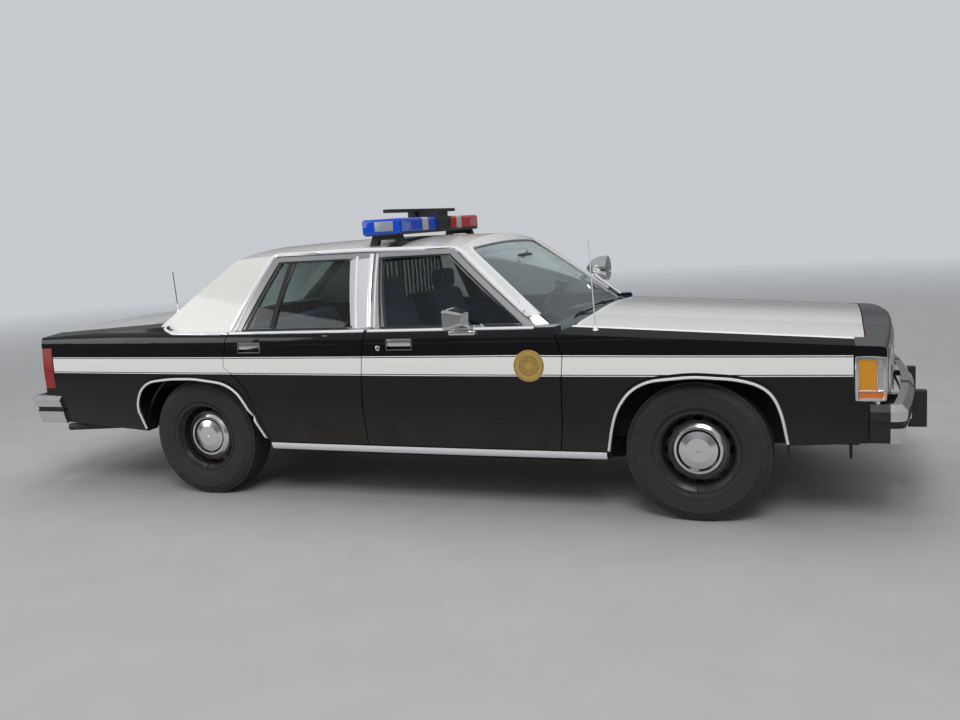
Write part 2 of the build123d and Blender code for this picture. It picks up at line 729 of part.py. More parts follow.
# Hood
with BuildPart() as hood:
    add(nose_skin)
    add(hood_bulge())
    add(box_between((HOOD_REAR_EDGE, HOOD_FRONT_EDGE), (-HOOD_HALF, HOOD_HALF), (600, 1100)),
        mode=Mode.INTERSECT)
write(hood, "hood")

# Deck lid
with BuildPart() as trunk_lid:
    add(tail_skin & box_between((-1400, LID_FRONT_EDGE), (-LID_HALF, LID_HALF), (LID_LIP, 1100)))
    add(tail_skin & box_between((-1400, LID_FRONT_EDGE), (-LID_DROP_HALF, LID_DROP_HALF), (LID_DROP, 1100)))
    # bracket for a plate, with its two screw holes right through the skin
    half_wide, high = PLATE_BRACKET[0] / 2, PLATE_BRACKET[1] / 2
    add(box_between((PLATE_FACE, -1232), (-half_wide, half_wide), (PLATE_MIDDLE - high, PLATE_MIDDLE + high)))
    with BuildSketch(cross(PLATE_FACE - 10)):
        with Locations((-PLATE_HOLE_SPACING / 2, PLATE_HOLE_HEIGHT),
                       (PLATE_HOLE_SPACING / 2, PLATE_HOLE_HEIGHT)):
            Circle(PLATE_HOLE_RADIUS)
    extrude(amount=60, mode=Mode.SUBTRACT)
    # aerial
    aerial_foot = Plane(origin=(LID_AERIAL[0] - MID, 0, LID_AERIAL[1]))
    with BuildSketch(aerial_foot):
        Circle(17)
    extrude(amount=32, taper=15)
    with BuildSketch(Plane(origin=aerial_foot.origin, x_dir=(1, 0, 0), z_dir=(-0.04, 0, 1))):
        Circle(3)
    extrude(amount=300)
write(trunk_lid, "trunk_lid")


def face_volume(inset):
    """Everything behind the bowed nose face."""
    with BuildPart() as volume:
        with BuildSketch(level(150)):
            with Locations((FACE_CENTRE - FACE_RADIUS, 0)):
                Circle(FACE_RADIUS - inset)
        extrude(amount=1100)
    return volume.part


# Header panel with the grille and lamp openings
with BuildPart() as header_panel:
    add(nose_volume(0))
    add(hood_bulge())
    add(box_between((FENDER_END + SEAT_GAP, 3900), (-1100, 1100), (600, 1100)), mode=Mode.INTERSECT)
    add(face_volume(0), mode=Mode.INTERSECT)
    fillet([edge for edge in header_panel.edges() if edge.center().X + MID > 3740 and edge.center().Z > 800
            and edge.length > 100], HEADER_ROLL)
    # hollow behind the face and under the top
    add(nose_volume(PANEL) & face_volume(HEADER_WALL), mode=Mode.SUBTRACT)
    add(box_between((3500, HOOD_FRONT_EDGE + SHUT_GAP), (-HOOD_HALF - SHUT_GAP, HOOD_HALF + SHUT_GAP),
                    (500, 1200)), mode=Mode.SUBTRACT)
    for near, far in ((-LAMP_FAR, -LAMP_NEAR), (LAMP_NEAR, LAMP_FAR)):
        # raised rim round the pair of lamps
        rim_block = box_between((3600, 3900), (near - LAMP_RIM, far + LAMP_RIM),
                                (LAMP_LOW - LAMP_RIM, LAMP_HIGH + LAMP_RIM))
        add(rim_block & (face_volume(-LAMP_RIM / 2) - face_volume(HEADER_WALL)))
        add(box_between((3500, 3900), (near, far), (LAMP_LOW, LAMP_HIGH)), mode=Mode.SUBTRACT)
    add(box_between((3600, 3900), (-GRILLE_HALF - LAMP_RIM, GRILLE_HALF + LAMP_RIM),
                    (GRILLE_LOW - LAMP_RIM, GRILLE_HIGH + LAMP_RIM)) &
        (face_volume(-LAMP_RIM / 2) - face_volume(HEADER_WALL)))
    add(box_between((3500, 3900), (-GRILLE_HALF, GRILLE_HALF), (GRILLE_LOW, GRILLE_HIGH)), mode=Mode.SUBTRACT)
    for near, far in ((-1100, -CORNER_HALF), (CORNER_HALF, 1100)):
        add(box_between((3500, 3900), (near, far), (500, CORNER_HIGH)), mode=Mode.SUBTRACT)
    # grille bars
    with BuildSketch(cross(FACE_CENTRE - 60)):
        with Locations((0, (GRILLE_LOW + GRILLE_HIGH) / 2)):
            Rectangle(2 * GRILLE_HALF + 8, GRILLE_HIGH - GRILLE_LOW + 8)
            Rectangle(2 * GRILLE_HALF - 8, GRILLE_HIGH - GRILLE_LOW - 8, mode=Mode.SUBTRACT)
            with GridLocations(0, (GRILLE_HIGH - GRILLE_LOW) / GRILLE_BARS, 1, GRILLE_BARS - 1):
                Rectangle(2 * GRILLE_HALF, GRILLE_BAR)
            with GridLocations(2 * GRILLE_HALF / GRILLE_COLUMNS, 0, GRILLE_COLUMNS - 1, 1):
                Rectangle(GRILLE_BAR, GRILLE_HIGH - GRILLE_LOW)
    extrude(amount=24)
write(header_panel, "header_panel")

# Paired square headlamps
lamp_width = (LAMP_FAR - LAMP_NEAR) / 2 - 2 * SEAT_GAP
with BuildPart() as headlamps:
    for hand in (-1, 1):
        for row in range(2):
            y_mid = hand * (LAMP_NEAR + (LAMP_FAR - LAMP_NEAR) * (0.25 + 0.5 * row))
            with BuildSketch(cross(FACE_CENTRE - 90)):
                with Locations((y_mid, (LAMP_LOW + LAMP_HIGH) / 2)):
                    RectangleRounded(lamp_width, LAMP_HIGH - LAMP_LOW - 2 * SEAT_GAP, 6)
            extrude(amount=44)
            with BuildSketch(cross(FACE_CENTRE - 46)):
                with Locations((y_mid, (LAMP_LOW + LAMP_HIGH) / 2)):
                    RectangleRounded(lamp_width - 2 * LAMP_RIM, LAMP_HIGH - LAMP_LOW - 2 * LAMP_RIM, 10)
            extrude(amount=10, taper=12)
write(headlamps, "headlamps")

# Corner lamps
with BuildPart() as corner_lamps:
    for hand in (-1, 1):
        add(nose_volume(1) & face_volume(1) &
            box_between((FENDER_END + SEAT_GAP, 3900), across(hand, CORNER_HALF + SEAT_GAP, 1100),
                        (624, CORNER_HIGH - SEAT_GAP)))
    add(nose_volume(40) & face_volume(50) & box_between((3500, 3900), (-1100, 1100), (500, 1100)),
        mode=Mode.SUBTRACT)
write(corner_lamps, "corner_lamps")

# Tail: body panel across the back with its lamp pockets
with BuildPart() as rear_panel:
    add(tail_volume(0))
    add(box_between((-1400, QUARTER_END), (-1100, 1100), (TAIL_LOW, 1100)), mode=Mode.INTERSECT)
    add(tail_volume(TAIL_WALL) & box_between((-1400, QUARTER_END), (-1100, 1100), (0, 1100)),
        mode=Mode.SUBTRACT)
    add(box_between((-1400, -1000), (-LID_HALF - SHUT_GAP, LID_HALF + SHUT_GAP), (LID_LIP - SHUT_GAP, 1200)),
        mode=Mode.SUBTRACT)
    add(box_between((-1400, -1000), (-LID_DROP_HALF - SHUT_GAP, LID_DROP_HALF + SHUT_GAP),
                    (LID_DROP - SHUT_GAP, 1200)), mode=Mode.SUBTRACT)
    for near, far in ((-1100, -TAIL_LAMP_NEAR), (TAIL_LAMP_NEAR, 1100)):
        add(box_between((-1400, TAIL_LAMP_FRONT), (near, far), (TAIL_LAMP_LOW, TAIL_LAMP_HIGH)),
            mode=Mode.SUBTRACT)
write(rear_panel, "rear_panel")

# Tail lamps wrap round the corners
with BuildPart() as tail_lamps:
    add(tail_volume(1) - tail_volume(TAIL_WALL - 4))
    add(box_between((-1400, TAIL_LAMP_FRONT - SEAT_GAP), (-1100, 1100),
                    (TAIL_LAMP_LOW + SEAT_GAP, TAIL_LAMP_HIGH - SEAT_GAP)),
        mode=Mode.INTERSECT)
    add(box_between((-1400, 0), (-TAIL_LAMP_NEAR - SEAT_GAP, TAIL_LAMP_NEAR + SEAT_GAP), (0, 1200)),
        mode=Mode.SUBTRACT)
write(tail_lamps, "tail_lamps")


def bumper(face, bow, end, section):
    """Bowed bumper bar that wraps round both corners."""
    nose = 1 if face > 0 else -1
    corner = face - nose * bow
    with BuildPart() as bar:
        with BuildLine(level(0)) as run:
            Line((end, -BUMPER_HALF), (corner, -BUMPER_HALF))
            ThreePointArc((corner, -BUMPER_HALF), (face, 0), (corner, BUMPER_HALF))
            Line((corner, BUMPER_HALF), (end, BUMPER_HALF))
            corners = [v for v in run.vertices() if abs(v.X + MID - corner) < 1]
            fillet(corners, BUMPER_CORNER)
        with BuildSketch(Plane(origin=(end - MID, -BUMPER_HALF, 0), x_dir=(0, -1, 0), z_dir=(nose, 0, 0))):
            with BuildLine():
                Polyline(*[(out, -nose * height) for out, height in section], close=True)
            make_face()
        sweep(path=run.wires()[0])
    return bar.part


# Bumpers
with BuildPart() as front_bumper:
    add(bumper(FRONT_FACE, 82, 3673, FRONT_BUMPER))
    for hand in (-1, 1):
        add(box_between((HORN_FRONT + SEAT_GAP, FRONT_FACE - 30), across(hand, *RAIL_FRONT), (440, 560)))
        with BuildSketch(level(GUARD_HEIGHT[0])):
            with Locations((FRONT_REACH + WHEELBASE - GUARD_DEPTH / 2, hand * GUARD_SPREAD)):
                RectangleRounded(GUARD_DEPTH, GUARD_WIDTH, 16)
        extrude(amount=GUARD_HEIGHT[1] - GUARD_HEIGHT[0])
    add(nose_volume(-SEAT_GAP) & box_between((3600, 3735), (-1100, 1100), (300, 1100)), mode=Mode.SUBTRACT)
write(front_bumper, "front_bumper")
with BuildPart() as rear_bumper:
    add(bumper(-REAR_REACH, 120, -1040, REAR_BUMPER))
    for hand in (-1, 1):
        add(box_between((-REAR_REACH + 60, -1225), across(hand, 420, 490), (440, 580)))
    add(tail_volume(-SEAT_GAP), mode=Mode.SUBTRACT)
write(rear_bumper, "rear_bumper")


def ring(points, station, y_mid, hand):
    """Turned piece on a wheel axis: points are (radius, distance outboard of the wheel's middle)."""
    with BuildPart() as turned:
        with BuildSketch(Plane(origin=(station - MID, y_mid, TYRE_RADIUS), x_dir=(1, 0, 0), z_dir=(0, 0, 1))):
            with BuildLine():
                Polyline(*[(r, hand * out) for r, out in points], close=True)
            make_face()
        revolve(axis=Axis((station - MID, y_mid, TYRE_RADIUS), (0, 1, 0)))
    return turned.part


def tyre(station, y_mid):
    hand = -1 if y_mid < 0 else 1
    half = TYRE_WIDTH / 2
    with BuildPart() as carcass:
        add(ring([(RIM_RADIUS + 0.3, -78), (215, -98), (272, -half), (318, -106), (340, -88),
                  (TYRE_RADIUS, -60), (TYRE_RADIUS, 60), (340, 88), (318, 106), (272, half), (215, 98),
                  (RIM_RADIUS + 0.3, 78)], station, y_mid, hand))
    return carcass


def rim(station, y_mid):
    """Pressed steel wheel with slots, brake drum and plain hubcap."""
    hand = -1 if y_mid < 0 else 1
    centre = Plane(origin=(station - MID, y_mid, TYRE_RADIUS), x_dir=(1, 0, 0), z_dir=(0, hand, 0))
    with BuildPart() as wheel:
        # barrel and flanges
        add(ring([(RIM_RADIUS, -80), (205, -92), (205, -98), (196, -98), (182, -80), (178, -30), (178, 60),
                  (188, 82), (196, 98), (205, 98), (205, 92), (RIM_RADIUS, 80)], station, y_mid, hand))
        # disc
        add(ring([(180, 2), (180, 14), (150, 40), (128, 44), (60, 36), (60, 22), (128, 30), (150, 26)],
                 station, y_mid, hand))
        with BuildSketch(centre):
            with PolarLocations(SLOT_CIRCLE, SLOT_COUNT):
                SlotOverall(44, 18, rotation=90)
        extrude(amount=60, mode=Mode.SUBTRACT)
        # hub and drum, bored for the spindle
        add(ring([(SPINDLE_RADIUS + BORE_GAP, -50), (140, -50), (140, -20), (70, -12), (70, 36),
                  (SPINDLE_RADIUS + BORE_GAP, 36)], station, y_mid, hand))
        # hubcap
        add(ring([(0, 38), (HUBCAP_RADIUS, 38), (HUBCAP_RADIUS, 44), (118, 54), (104, 56), (96, 50),
                  (60, 60), (0, 62)], station, y_mid, hand))
    return wheel


CORNERS = (
    # name, station, y of the wheel's middle
    ("front_right", WHEELBASE, -TRACK_FRONT / 2),
    ("front_left", WHEELBASE, TRACK_FRONT / 2),
    ("rear_right", 0, -TRACK_REAR / 2),
    ("rear_left", 0, TRACK_REAR / 2),
)
for corner, station, y_mid in CORNERS:
    write(tyre(station, y_mid), f"tyre_{corner}")
    write(rim(station, y_mid), f"wheel_{corner}")

# Steering knuckles with their spindles
for hand, hand_name in ((-1, "right"), (1, "left")):
    y_knuckle = hand * KNUCKLE_HALF
    spindle_end = TRACK_FRONT / 2 + SPINDLE_STUB
    with BuildPart() as knuckle:
        pivot = Plane(origin=(WHEELBASE - MID, y_knuckle, TYRE_RADIUS), x_dir=(1, 0, 0), z_dir=(0, hand, 0))
        with BuildSketch(pivot.offset(-KNUCKLE_SET)):
            Circle(KNUCKLE_RADIUS)
            Rectangle(KNUCKLE_WIDTH, 2 * (ARM_RISE - SEAT_GAP))
        extrude(amount=KNUCKLE_THICK)
        with BuildSketch(pivot):
            Circle(SPINDLE_RADIUS)
        extrude(amount=spindle_end - KNUCKLE_HALF)
        # steering arm, rearwards
        add(box_between((WHEELBASE - STEER_ARM, WHEELBASE),
                        across(hand, KNUCKLE_HALF - KNUCKLE_SET, KNUCKLE_HALF + 6),
                        (TYRE_RADIUS - 70, TYRE_RADIUS - 50)))
    write(knuckle, f"knuckle_{hand_name}")

# Perimeter frame with its cross members and front arms
with BuildPart() as chassis_frame:
    for hand in (-1, 1):
        with BuildSketch(level(RAIL_LOW)):
            with BuildLine():
                Polyline(*[(x, hand * y) for x, y in ((3080, 400), (2420, 400), (2240, 600), (760, 600),
                                                      (640, 440), (640, 500), (720, 665), (2290, 665),
                                                      (2480, 460), (3080, 460))], close=True)
            make_face()
        extrude(amount=RAIL_HIGH - RAIL_LOW)
        # the rail climbs ahead of the front axle
        add(side_prism([(3060, RAIL_LOW), (3060, RAIL_HIGH), (3180, NOSE_RAIL_HIGH),
                        (HORN_FRONT, NOSE_RAIL_HIGH), (HORN_FRONT, NOSE_RAIL_LOW), (3220, NOSE_RAIL_LOW),
                        (3090, RAIL_LOW)],
                       *across(hand, *RAIL_FRONT)))
        # the rail climbs over the rear axle
        add(side_prism([(700, RAIL_LOW), (700, RAIL_HIGH), (480, RAIL_REAR_LOW + 60),
                        (-420, RAIL_REAR_LOW + 60), (-560, 470), (TRUNK_REAR, 470), (TRUNK_REAR, 400),
                        (-560, 400), (-460, RAIL_REAR_LOW), (440, RAIL_REAR_LOW), (640, RAIL_LOW)],
                       *across(hand, *RAIL_REAR)))
        # front arms, open at the knuckle
        for height in (TYRE_RADIUS - ARM_RISE - ARM_THICK, TYRE_RADIUS + ARM_RISE):
            with BuildSketch(level(height)):
                with BuildLine():
                    Polyline(*[(WHEELBASE + x, hand * y) for x, y in
                               ((-140, 390), (140, 390), (14, KNUCKLE_HALF + 6), (-14, KNUCKLE_HALF + 6))],
                             close=True)
                make_face()
            extrude(amount=ARM_THICK)
    for station, width, half, low in ((1700, 90, 620, RAIL_LOW + 20), (660, 60, 470, RAIL_LOW + 20),
                                      (-1056, 60, 470, 402)):
        add(box_between((station, station + width), (-half, half), (low, low + 60)))
    add(box_between((WHEELBASE - 90, WHEELBASE + 90), (-440, 440),
                    (TYRE_RADIUS - ARM_RISE - ARM_THICK, CROSS_TOP)))
    for hand in (-1, 1):
        add(box_between((WHEELBASE - 60, WHEELBASE + 60), across(hand, RAIL_FRONT[0], RAIL_REAR[0]),
                        (RAIL_LOW, TYRE_RADIUS + ARM_RISE + ARM_THICK)))
        # horns that carry the front bumper
        add(box_between((CARRIER[1] + 2, HORN_FRONT), across(hand, *RAIL_FRONT), (NOSE_RAIL_LOW, 560)))
        # coil spring between the arms
        with BuildSketch(level(TYRE_RADIUS - ARM_RISE)):
            with Locations((WHEELBASE, hand * SPRING_SPREAD)):
                Circle(SPRING_RADIUS)
        extrude(amount=2 * ARM_RISE)
write(chassis_frame, "chassis_frame")

# Rear axle with its differential, springs and arms
with BuildPart() as rear_axle:
    with BuildSketch(side(-AXLE_TUBE_HALF)):
        with Locations((0, TYRE_RADIUS)):
            Circle(AXLE_TUBE_RADIUS)
    extrude(amount=-2 * AXLE_TUBE_HALF)
    with BuildSketch(side(-TRACK_REAR / 2 - SPINDLE_STUB)):
        with Locations((0, TYRE_RADIUS)):
            Circle(SPINDLE_RADIUS)
    extrude(amount=-TRACK_REAR - 2 * SPINDLE_STUB)
    with Locations((-MID, 0, TYRE_RADIUS)):
        Sphere(DIFFERENTIAL_RADIUS)
    for hand in (-1, 1):
        with BuildSketch(level(TYRE_RADIUS)):
            with Locations((-60, hand * 430)):
                Circle(55)
        extrude(amount=RAIL_REAR_LOW - TYRE_RADIUS - SEAT_GAP)
        add(side_prism([(0, TYRE_RADIUS - 20), (0, TYRE_RADIUS + 10), (620, 300), (620, 250)],
                       *across(hand, RAIL_REAR[0] + 10, RAIL_REAR[1] - 10)))
    # propeller shaft forward to the gearbox
    shaft_end = Plane(origin=(-MID, 0, TYRE_RADIUS), x_dir=(0, 1, 0), z_dir=(1, 0, 0))
    with BuildSketch(shaft_end):
        Circle(SHAFT_RADIUS)
    extrude(amount=GEARBOX_REAR - SEAT_GAP)
    with BuildSketch(shaft_end.offset(GEARBOX_REAR - 70)):
        Circle(SHAFT_RADIUS + 14)
    extrude(amount=40)
    add(chassis_frame.part, mode=Mode.SUBTRACT)
write(rear_axle, "rear_axle")


def tunnel_height(station):
    """Height of the top of the tunnel."""
    return TUNNEL_REAR_HEIGHT + (station - 760) * TUNNEL_CLIMB / (FLOOR_FRONT - 760)


# Floor: pan, tunnel, step over the rear axle, trunk floor
with BuildPart() as floor_pan:
    add(side_prism([(TRUNK_REAR, TRUNK_FLOOR), (500, TRUNK_FLOOR), (724, FLOOR_HEIGHT),
                    (FLOOR_FRONT, FLOOR_HEIGHT), (FLOOR_FRONT, FLOOR_HEIGHT + FLOOR_THICK),
                    (730, FLOOR_HEIGHT + FLOOR_THICK), (506, TRUNK_FLOOR + FLOOR_THICK),
                    (TRUNK_REAR, TRUNK_FLOOR + FLOOR_THICK)], -1000, 1000))
    add(side_prism([(600, FLOOR_HEIGHT), (600, 442), (760, tunnel_height(760)),
                    (FLOOR_FRONT, tunnel_height(FLOOR_FRONT)), (FLOOR_FRONT, FLOOR_HEIGHT)],
                   -TUNNEL_HALF, TUNNEL_HALF))
    add(side_prism([(560, FLOOR_HEIGHT - 10), (560, 430), (612, 430), (760, tunnel_height(760) - FLOOR_THICK),
                    (2400, tunnel_height(2400) - FLOOR_THICK), (2400, FLOOR_HEIGHT - 10)],
                   -TUNNEL_HALF + FLOOR_THICK, TUNNEL_HALF - FLOOR_THICK), mode=Mode.SUBTRACT)
    add(lower_flank(SIDE_WALL), mode=Mode.INTERSECT)
    mirror(lower_flank(SIDE_WALL), about=Plane.XZ, mode=Mode.INTERSECT)
    for start in (-HOUSE_INNER, HOUSE_INNER + 400):
        with BuildSketch(side(start)):
            with Locations((0, TYRE_RADIUS)):
                Circle(HOUSE_RADIUS)
        extrude(amount=400, mode=Mode.SUBTRACT)
write(floor_pan, "floor_pan")

# Firewall, inner aprons and lamp carrier; the hood rests on the firewall and the carrier
with BuildPart() as front_structure:
    add(box_between(FIREWALL, (-860, 860), (SILL_TOP + 4, 1000)))
    add(box_between(CARRIER, (-HOOD_HALF - 60, HOOD_HALF + 60), (NOSE_RAIL_LOW + 20, 1000)))
    for hand in (-1, 1):
        run = (FIREWALL[0] + 4, CARRIER[1] - 2)
        add(box_between(run, across(hand, *APRON), (RAIL_HIGH + 2, APRON_TOP)))
        add(box_between(run, across(hand, APRON[0], HOOD_HALF + 60), (APRON_TOP - 12, APRON_TOP)))
        # way through for the upper arm
        add(box_between((WHEELBASE - 150, WHEELBASE + 150), across(hand, 460, 500), (430, 486)),
            mode=Mode.SUBTRACT)
        # way through for the frame rail
        add(box_between((3500, 3700), across(hand, RAIL_FRONT[0] - SEAT_GAP, RAIL_FRONT[1] + SEAT_GAP),
                        (200, NOSE_RAIL_HIGH + SEAT_GAP)), mode=Mode.SUBTRACT)
    # way through for the gearbox
    add(box_between((2300, 2400), (-GEARBOX_HALF - 16, GEARBOX_HALF + 16), (SILL_TOP, 420)),
        mode=Mode.SUBTRACT)
    add(nose_volume(PANEL + SEAT_GAP), mode=Mode.INTERSECT)
write(front_structure, "front_structure")

# Scuttle between the hood and the windscreen
with BuildPart() as cowl:
    add(side_prism([(2258, 925), (2296, 925), (2296, 962), (2262, 962)], -HOOD_HALF, HOOD_HALF))
    add(box_between((2296, 2346 - SEAT_GAP), (-HOOD_HALF, HOOD_HALF), (925, 937)))
    add(windscreen_side(GLASS_SET - SEAT_GAP), mode=Mode.SUBTRACT)
write(cowl, "cowl")

# Shelf behind the rear seat and the deck filler
with BuildPart() as parcel_shelf:
    add(tail_skin & box_between((LID_FRONT_EDGE + SHUT_GAP, 60), (-LID_HALF, LID_HALF), (700, 1100)))
    glass_slot = backlight_side(GLASS_SET - SEAT_GAP) - backlight_side(GLASS_SET + GLASS_THICK + SEAT_GAP)
    add(glass_slot & BACKLIGHT_OPENING, mode=Mode.SUBTRACT)
write(parcel_shelf, "parcel_shelf")

with BuildPart() as engine:
    add(box_between((2700, 3300), (-230, 230), (CROSS_TOP + SEAT_GAP, 800)))
    add(box_between((GEARBOX_REAR, 2700), (-GEARBOX_HALF, GEARBOX_HALF), (CROSS_TOP + SEAT_GAP, 392)))
write(engine, "engine")

with BuildPart() as fuel_tank:
    add(box_between((-1060, -580), (-400, 400), (290, 402 - SEAT_GAP)))
write(fuel_tank, "fuel_tank")

# Exhaust: down from the engine, through the silencer, over the axle and out at the right
with BuildPart() as exhaust:
    for route in (EXHAUST_FRONT, EXHAUST_REAR):
        with BuildLine() as run:
            FilletPolyline(*[(x - MID, y, z) for x, y, z in route], radius=70)
        start = run.wires()[0]
        with BuildSketch(Plane(origin=start @ 0, z_dir=start % 0)):
            Circle(PIPE_RADIUS)
        sweep(path=start)
    with BuildSketch(cross(SILENCER[0])):
        with Locations((EXHAUST_FRONT[-1][1], SILENCER[2])):
            SlotOverall(230, 90)
    extrude(amount=SILENCER[1] - SILENCER[0])
    # open end
    with BuildSketch(Plane(origin=start @ 1, z_dir=start % 1)):
        Circle(PIPE_RADIUS - PIPE_WALL)
    extrude(amount=-OUTLET_DEPTH, mode=Mode.SUBTRACT)
    # hangers under the cross member and beside the rail
    add(box_between((1730, 1760), (-351, -339), (190, RAIL_LOW + 20 - SEAT_GAP)))
    add(box_between((-300, -270), (-582, -570), (436, 510)))
    add(box_between((-300, -270), (-582, -500 - SEAT_GAP), (490, 510)))
write(exhaust, "exhaust")


def seat(station, y, cushion, back):
    """Seat from two side outlines with rounded edges."""
    with BuildPart() as form:
        for outline in (cushion, back):
            with BuildSketch(side(y[1])) as shape:
                with BuildLine():
                    Polyline(*[(station + x, z) for x, z in outline], close=True)
                make_face()
                fillet(shape.vertices(), 30)
            extrude(amount=y[1] - y[0])
    return form.part


with BuildPart() as seats:
    for hand in (-1, 1):
        near, far = across(hand, *FRONT_SEAT_SPAN)
        add(seat(FRONT_SEAT, (near, far), FRONT_CUSHION, FRONT_BACK))
        add(box_between((FRONT_SEAT + 30, FRONT_SEAT + 460), (near + 70, far - 70),
                        (FLOOR_HEIGHT + FLOOR_THICK + SEAT_GAP, 480)))
        middle = (near + far) / 2
        with BuildSketch(side(middle + HEAD_REST_HALF)) as rest:
            with BuildLine():
                Polyline(*[(FRONT_SEAT + x, z) for x, z in HEAD_REST], close=True)
            make_face()
            fillet(rest.vertices(), 18)
        extrude(amount=2 * HEAD_REST_HALF)
    add(seat(REAR_SEAT, (-REAR_SEAT_HALF, REAR_SEAT_HALF), REAR_CUSHION, REAR_BACK))
write(seats, "seats")

# Screen between the front and the back of the cabin
with BuildPart() as partition:
    with BuildSketch(cross(PARTITION_STATION)) as frame_sketch:
        with BuildLine():
            Polyline(*PARTITION_OUTLINE, close=True)
        make_face()
        offset(amount=-PARTITION_FRAME, kind=Kind.INTERSECTION, mode=Mode.SUBTRACT)
        with Locations((0, 940)):
            Rectangle(1400, PARTITION_FRAME)
        with GridLocations(60, 0, PARTITION_BARS, 1):
            with Locations((0, 1130)):
                Rectangle(7, 390)
    extrude(amount=PARTITION_THICK)
    # feet on the floor
    for hand in (-1, 1):
        add(box_between((PARTITION_STATION, PARTITION_STATION + PARTITION_THICK), across(hand, 690, 720),
                        (FLOOR_HEIGHT + FLOOR_THICK + SEAT_GAP, 510)))
write(partition, "partition")

with BuildPart() as dashboard:
    add(side_prism([(2258 - SEAT_GAP, 700), (2030, 720), (1990, 800), (2010, 905), (2100, 940),
                    (2258 - SEAT_GAP, 940)], -HOOD_HALF, HOOD_HALF))
    # hood over the instruments
    add(side_prism([(2120, 930), (2005, 900), (1955, 912), (1962, 948), (2120, 962)], 210, 550))
    # console down to the tunnel
    add(side_prism([(2060, tunnel_height(2060) + SEAT_GAP), (2240, tunnel_height(2240) + SEAT_GAP),
                    (2240, 720), (2060, 720)], -120, 120))
    add(windscreen_side(GLASS_SET + GLASS_THICK + 6), mode=Mode.INTERSECT)
write(dashboard, "dashboard")

# Steering wheel and column
with BuildPart() as steering_wheel:
    hub = Plane(origin=(STEER_CENTRE[0] - MID, *STEER_CENTRE[1:]), x_dir=(0, 1, 0),
                z_dir=(-cos(radians(STEER_TILT)), 0, sin(radians(STEER_TILT))))
    with BuildSketch(Plane(origin=hub.origin, x_dir=hub.x_dir, z_dir=hub.y_dir)):
        with Locations((STEER_RADIUS, 0)):
            Circle(STEER_GRIP)
    revolve(axis=Axis(hub.origin, hub.z_dir))
    with BuildSketch(hub.offset(-12)):
        Rectangle(2 * STEER_RADIUS - 4, 40)
        Circle(52)
    extrude(amount=18)
    with BuildSketch(hub.offset(-6)):
        Circle(32)
    extrude(amount=-220)
    add(dashboard.part, mode=Mode.SUBTRACT)
write(steering_wheel, "steering_wheel")

# Lightbar: tray on two arched feet, with a plain middle housing and a slat behind it
with BuildPart() as lightbar_base:
    with BuildSketch(level(BAR_LOW)):
        with Locations(((BAR_REAR + BAR_FRONT) / 2, 0)):
            RectangleRounded(BAR_FRONT - BAR_REAR, 2 * BAR_HALF, BAR_CORNER)
    extrude(amount=BAR_TRAY)
    add(box_between((BAR_REAR + 20, BAR_FRONT + 14), (-BAR_GAP + 1, BAR_GAP - 1), (BAR_LOW, BAR_HIGH)))
    for row in range(BAR_LOUVRES):
        low = BAR_LOW + 22 + 14 * row
        for station in (BAR_REAR + 20, BAR_FRONT + 10):
            add(box_between((station, station + 4), (-78, 78), (low, low + 6)), mode=Mode.SUBTRACT)
    cap_half, cap_top = BAR_CAP[0], BAR_HIGH + BAR_CAP[1]
    add(box_between((BAR_REAR + 40, BAR_FRONT), (-cap_half, cap_half), (BAR_HIGH, cap_top)))
    with BuildSketch(cross(BAR_REAR)):
        with Locations((0, BAR_HIGH + 20)):
            with GridLocations(16, 0, 9, 1):
                SlotOverall(22, 7, rotation=90)
    extrude(amount=BAR_FRONT - BAR_REAR + 20, mode=Mode.SUBTRACT)
    for hand in (-1, 1):
        add(side_prism(BAR_ARCH, hand * BAR_FOOT_PLACE - 20, hand * BAR_FOOT_PLACE + 20))
        # strap that lies on the roof edge
        strap = box_between((1190, 1262), across(hand, 550, 648), (1380, 1470))
        add(strap & (roof_top(-SEAT_GAP - 8) - roof_top(-SEAT_GAP)))
        # posts of the slat
        add(box_between((BAR_REAR + 92, BAR_REAR + 104), across(hand, 96, 84),
                        (BAR_LOW, BAR_HIGH + 30)))
    with BuildSketch(level(BAR_HIGH + 34)):
        with Locations((BAR_REAR + 100, 0)):
            RectangleRounded(SLAT_WIDTH, 2 * SLAT_HALF, 12)
    extrude(amount=20)
    add(roof_top(-SEAT_GAP), mode=Mode.SUBTRACT)
write(lightbar_base, "lightbar_base")

# Lenses: three sections on each side of the middle
with BuildPart() as lightbar_lenses:
    for hand in (-1, 1):
        for near, far in BAR_SECTIONS:
            with BuildSketch(side(max(hand * near, hand * far))):
                with Locations(((BAR_REAR + BAR_FRONT) / 2, (BAR_LOW + BAR_TRAY + SEAT_GAP + BAR_HIGH) / 2)):
                    RectangleRounded(BAR_FRONT - BAR_REAR - 10, BAR_HIGH - BAR_LOW - BAR_TRAY - SEAT_GAP, 26)
            extrude(amount=far - near)
write(lightbar_lenses, "lightbar_lenses")

# Aerials on the right fender and the deck lid
with BuildPart() as fender_aerial:
    foot_top = nose_height(FENDER_AERIAL[0], FENDER_AERIAL[1])
    with BuildSketch(Plane(origin=(FENDER_AERIAL[0] - MID, FENDER_AERIAL[1], foot_top + SEAT_GAP))):
        Circle(16)
    extrude(amount=22, taper=25)
    with BuildSketch(Plane(origin=(FENDER_AERIAL[0] - MID, FENDER_AERIAL[1], foot_top + 10), x_dir=(1, 0, 0),
                           z_dir=(-0.04, 0, 1))):
        Circle(3)
    extrude(amount=440)
    add(nose_volume(-SEAT_GAP), mode=Mode.SUBTRACT)
write(fender_aerial, "fender_aerial")

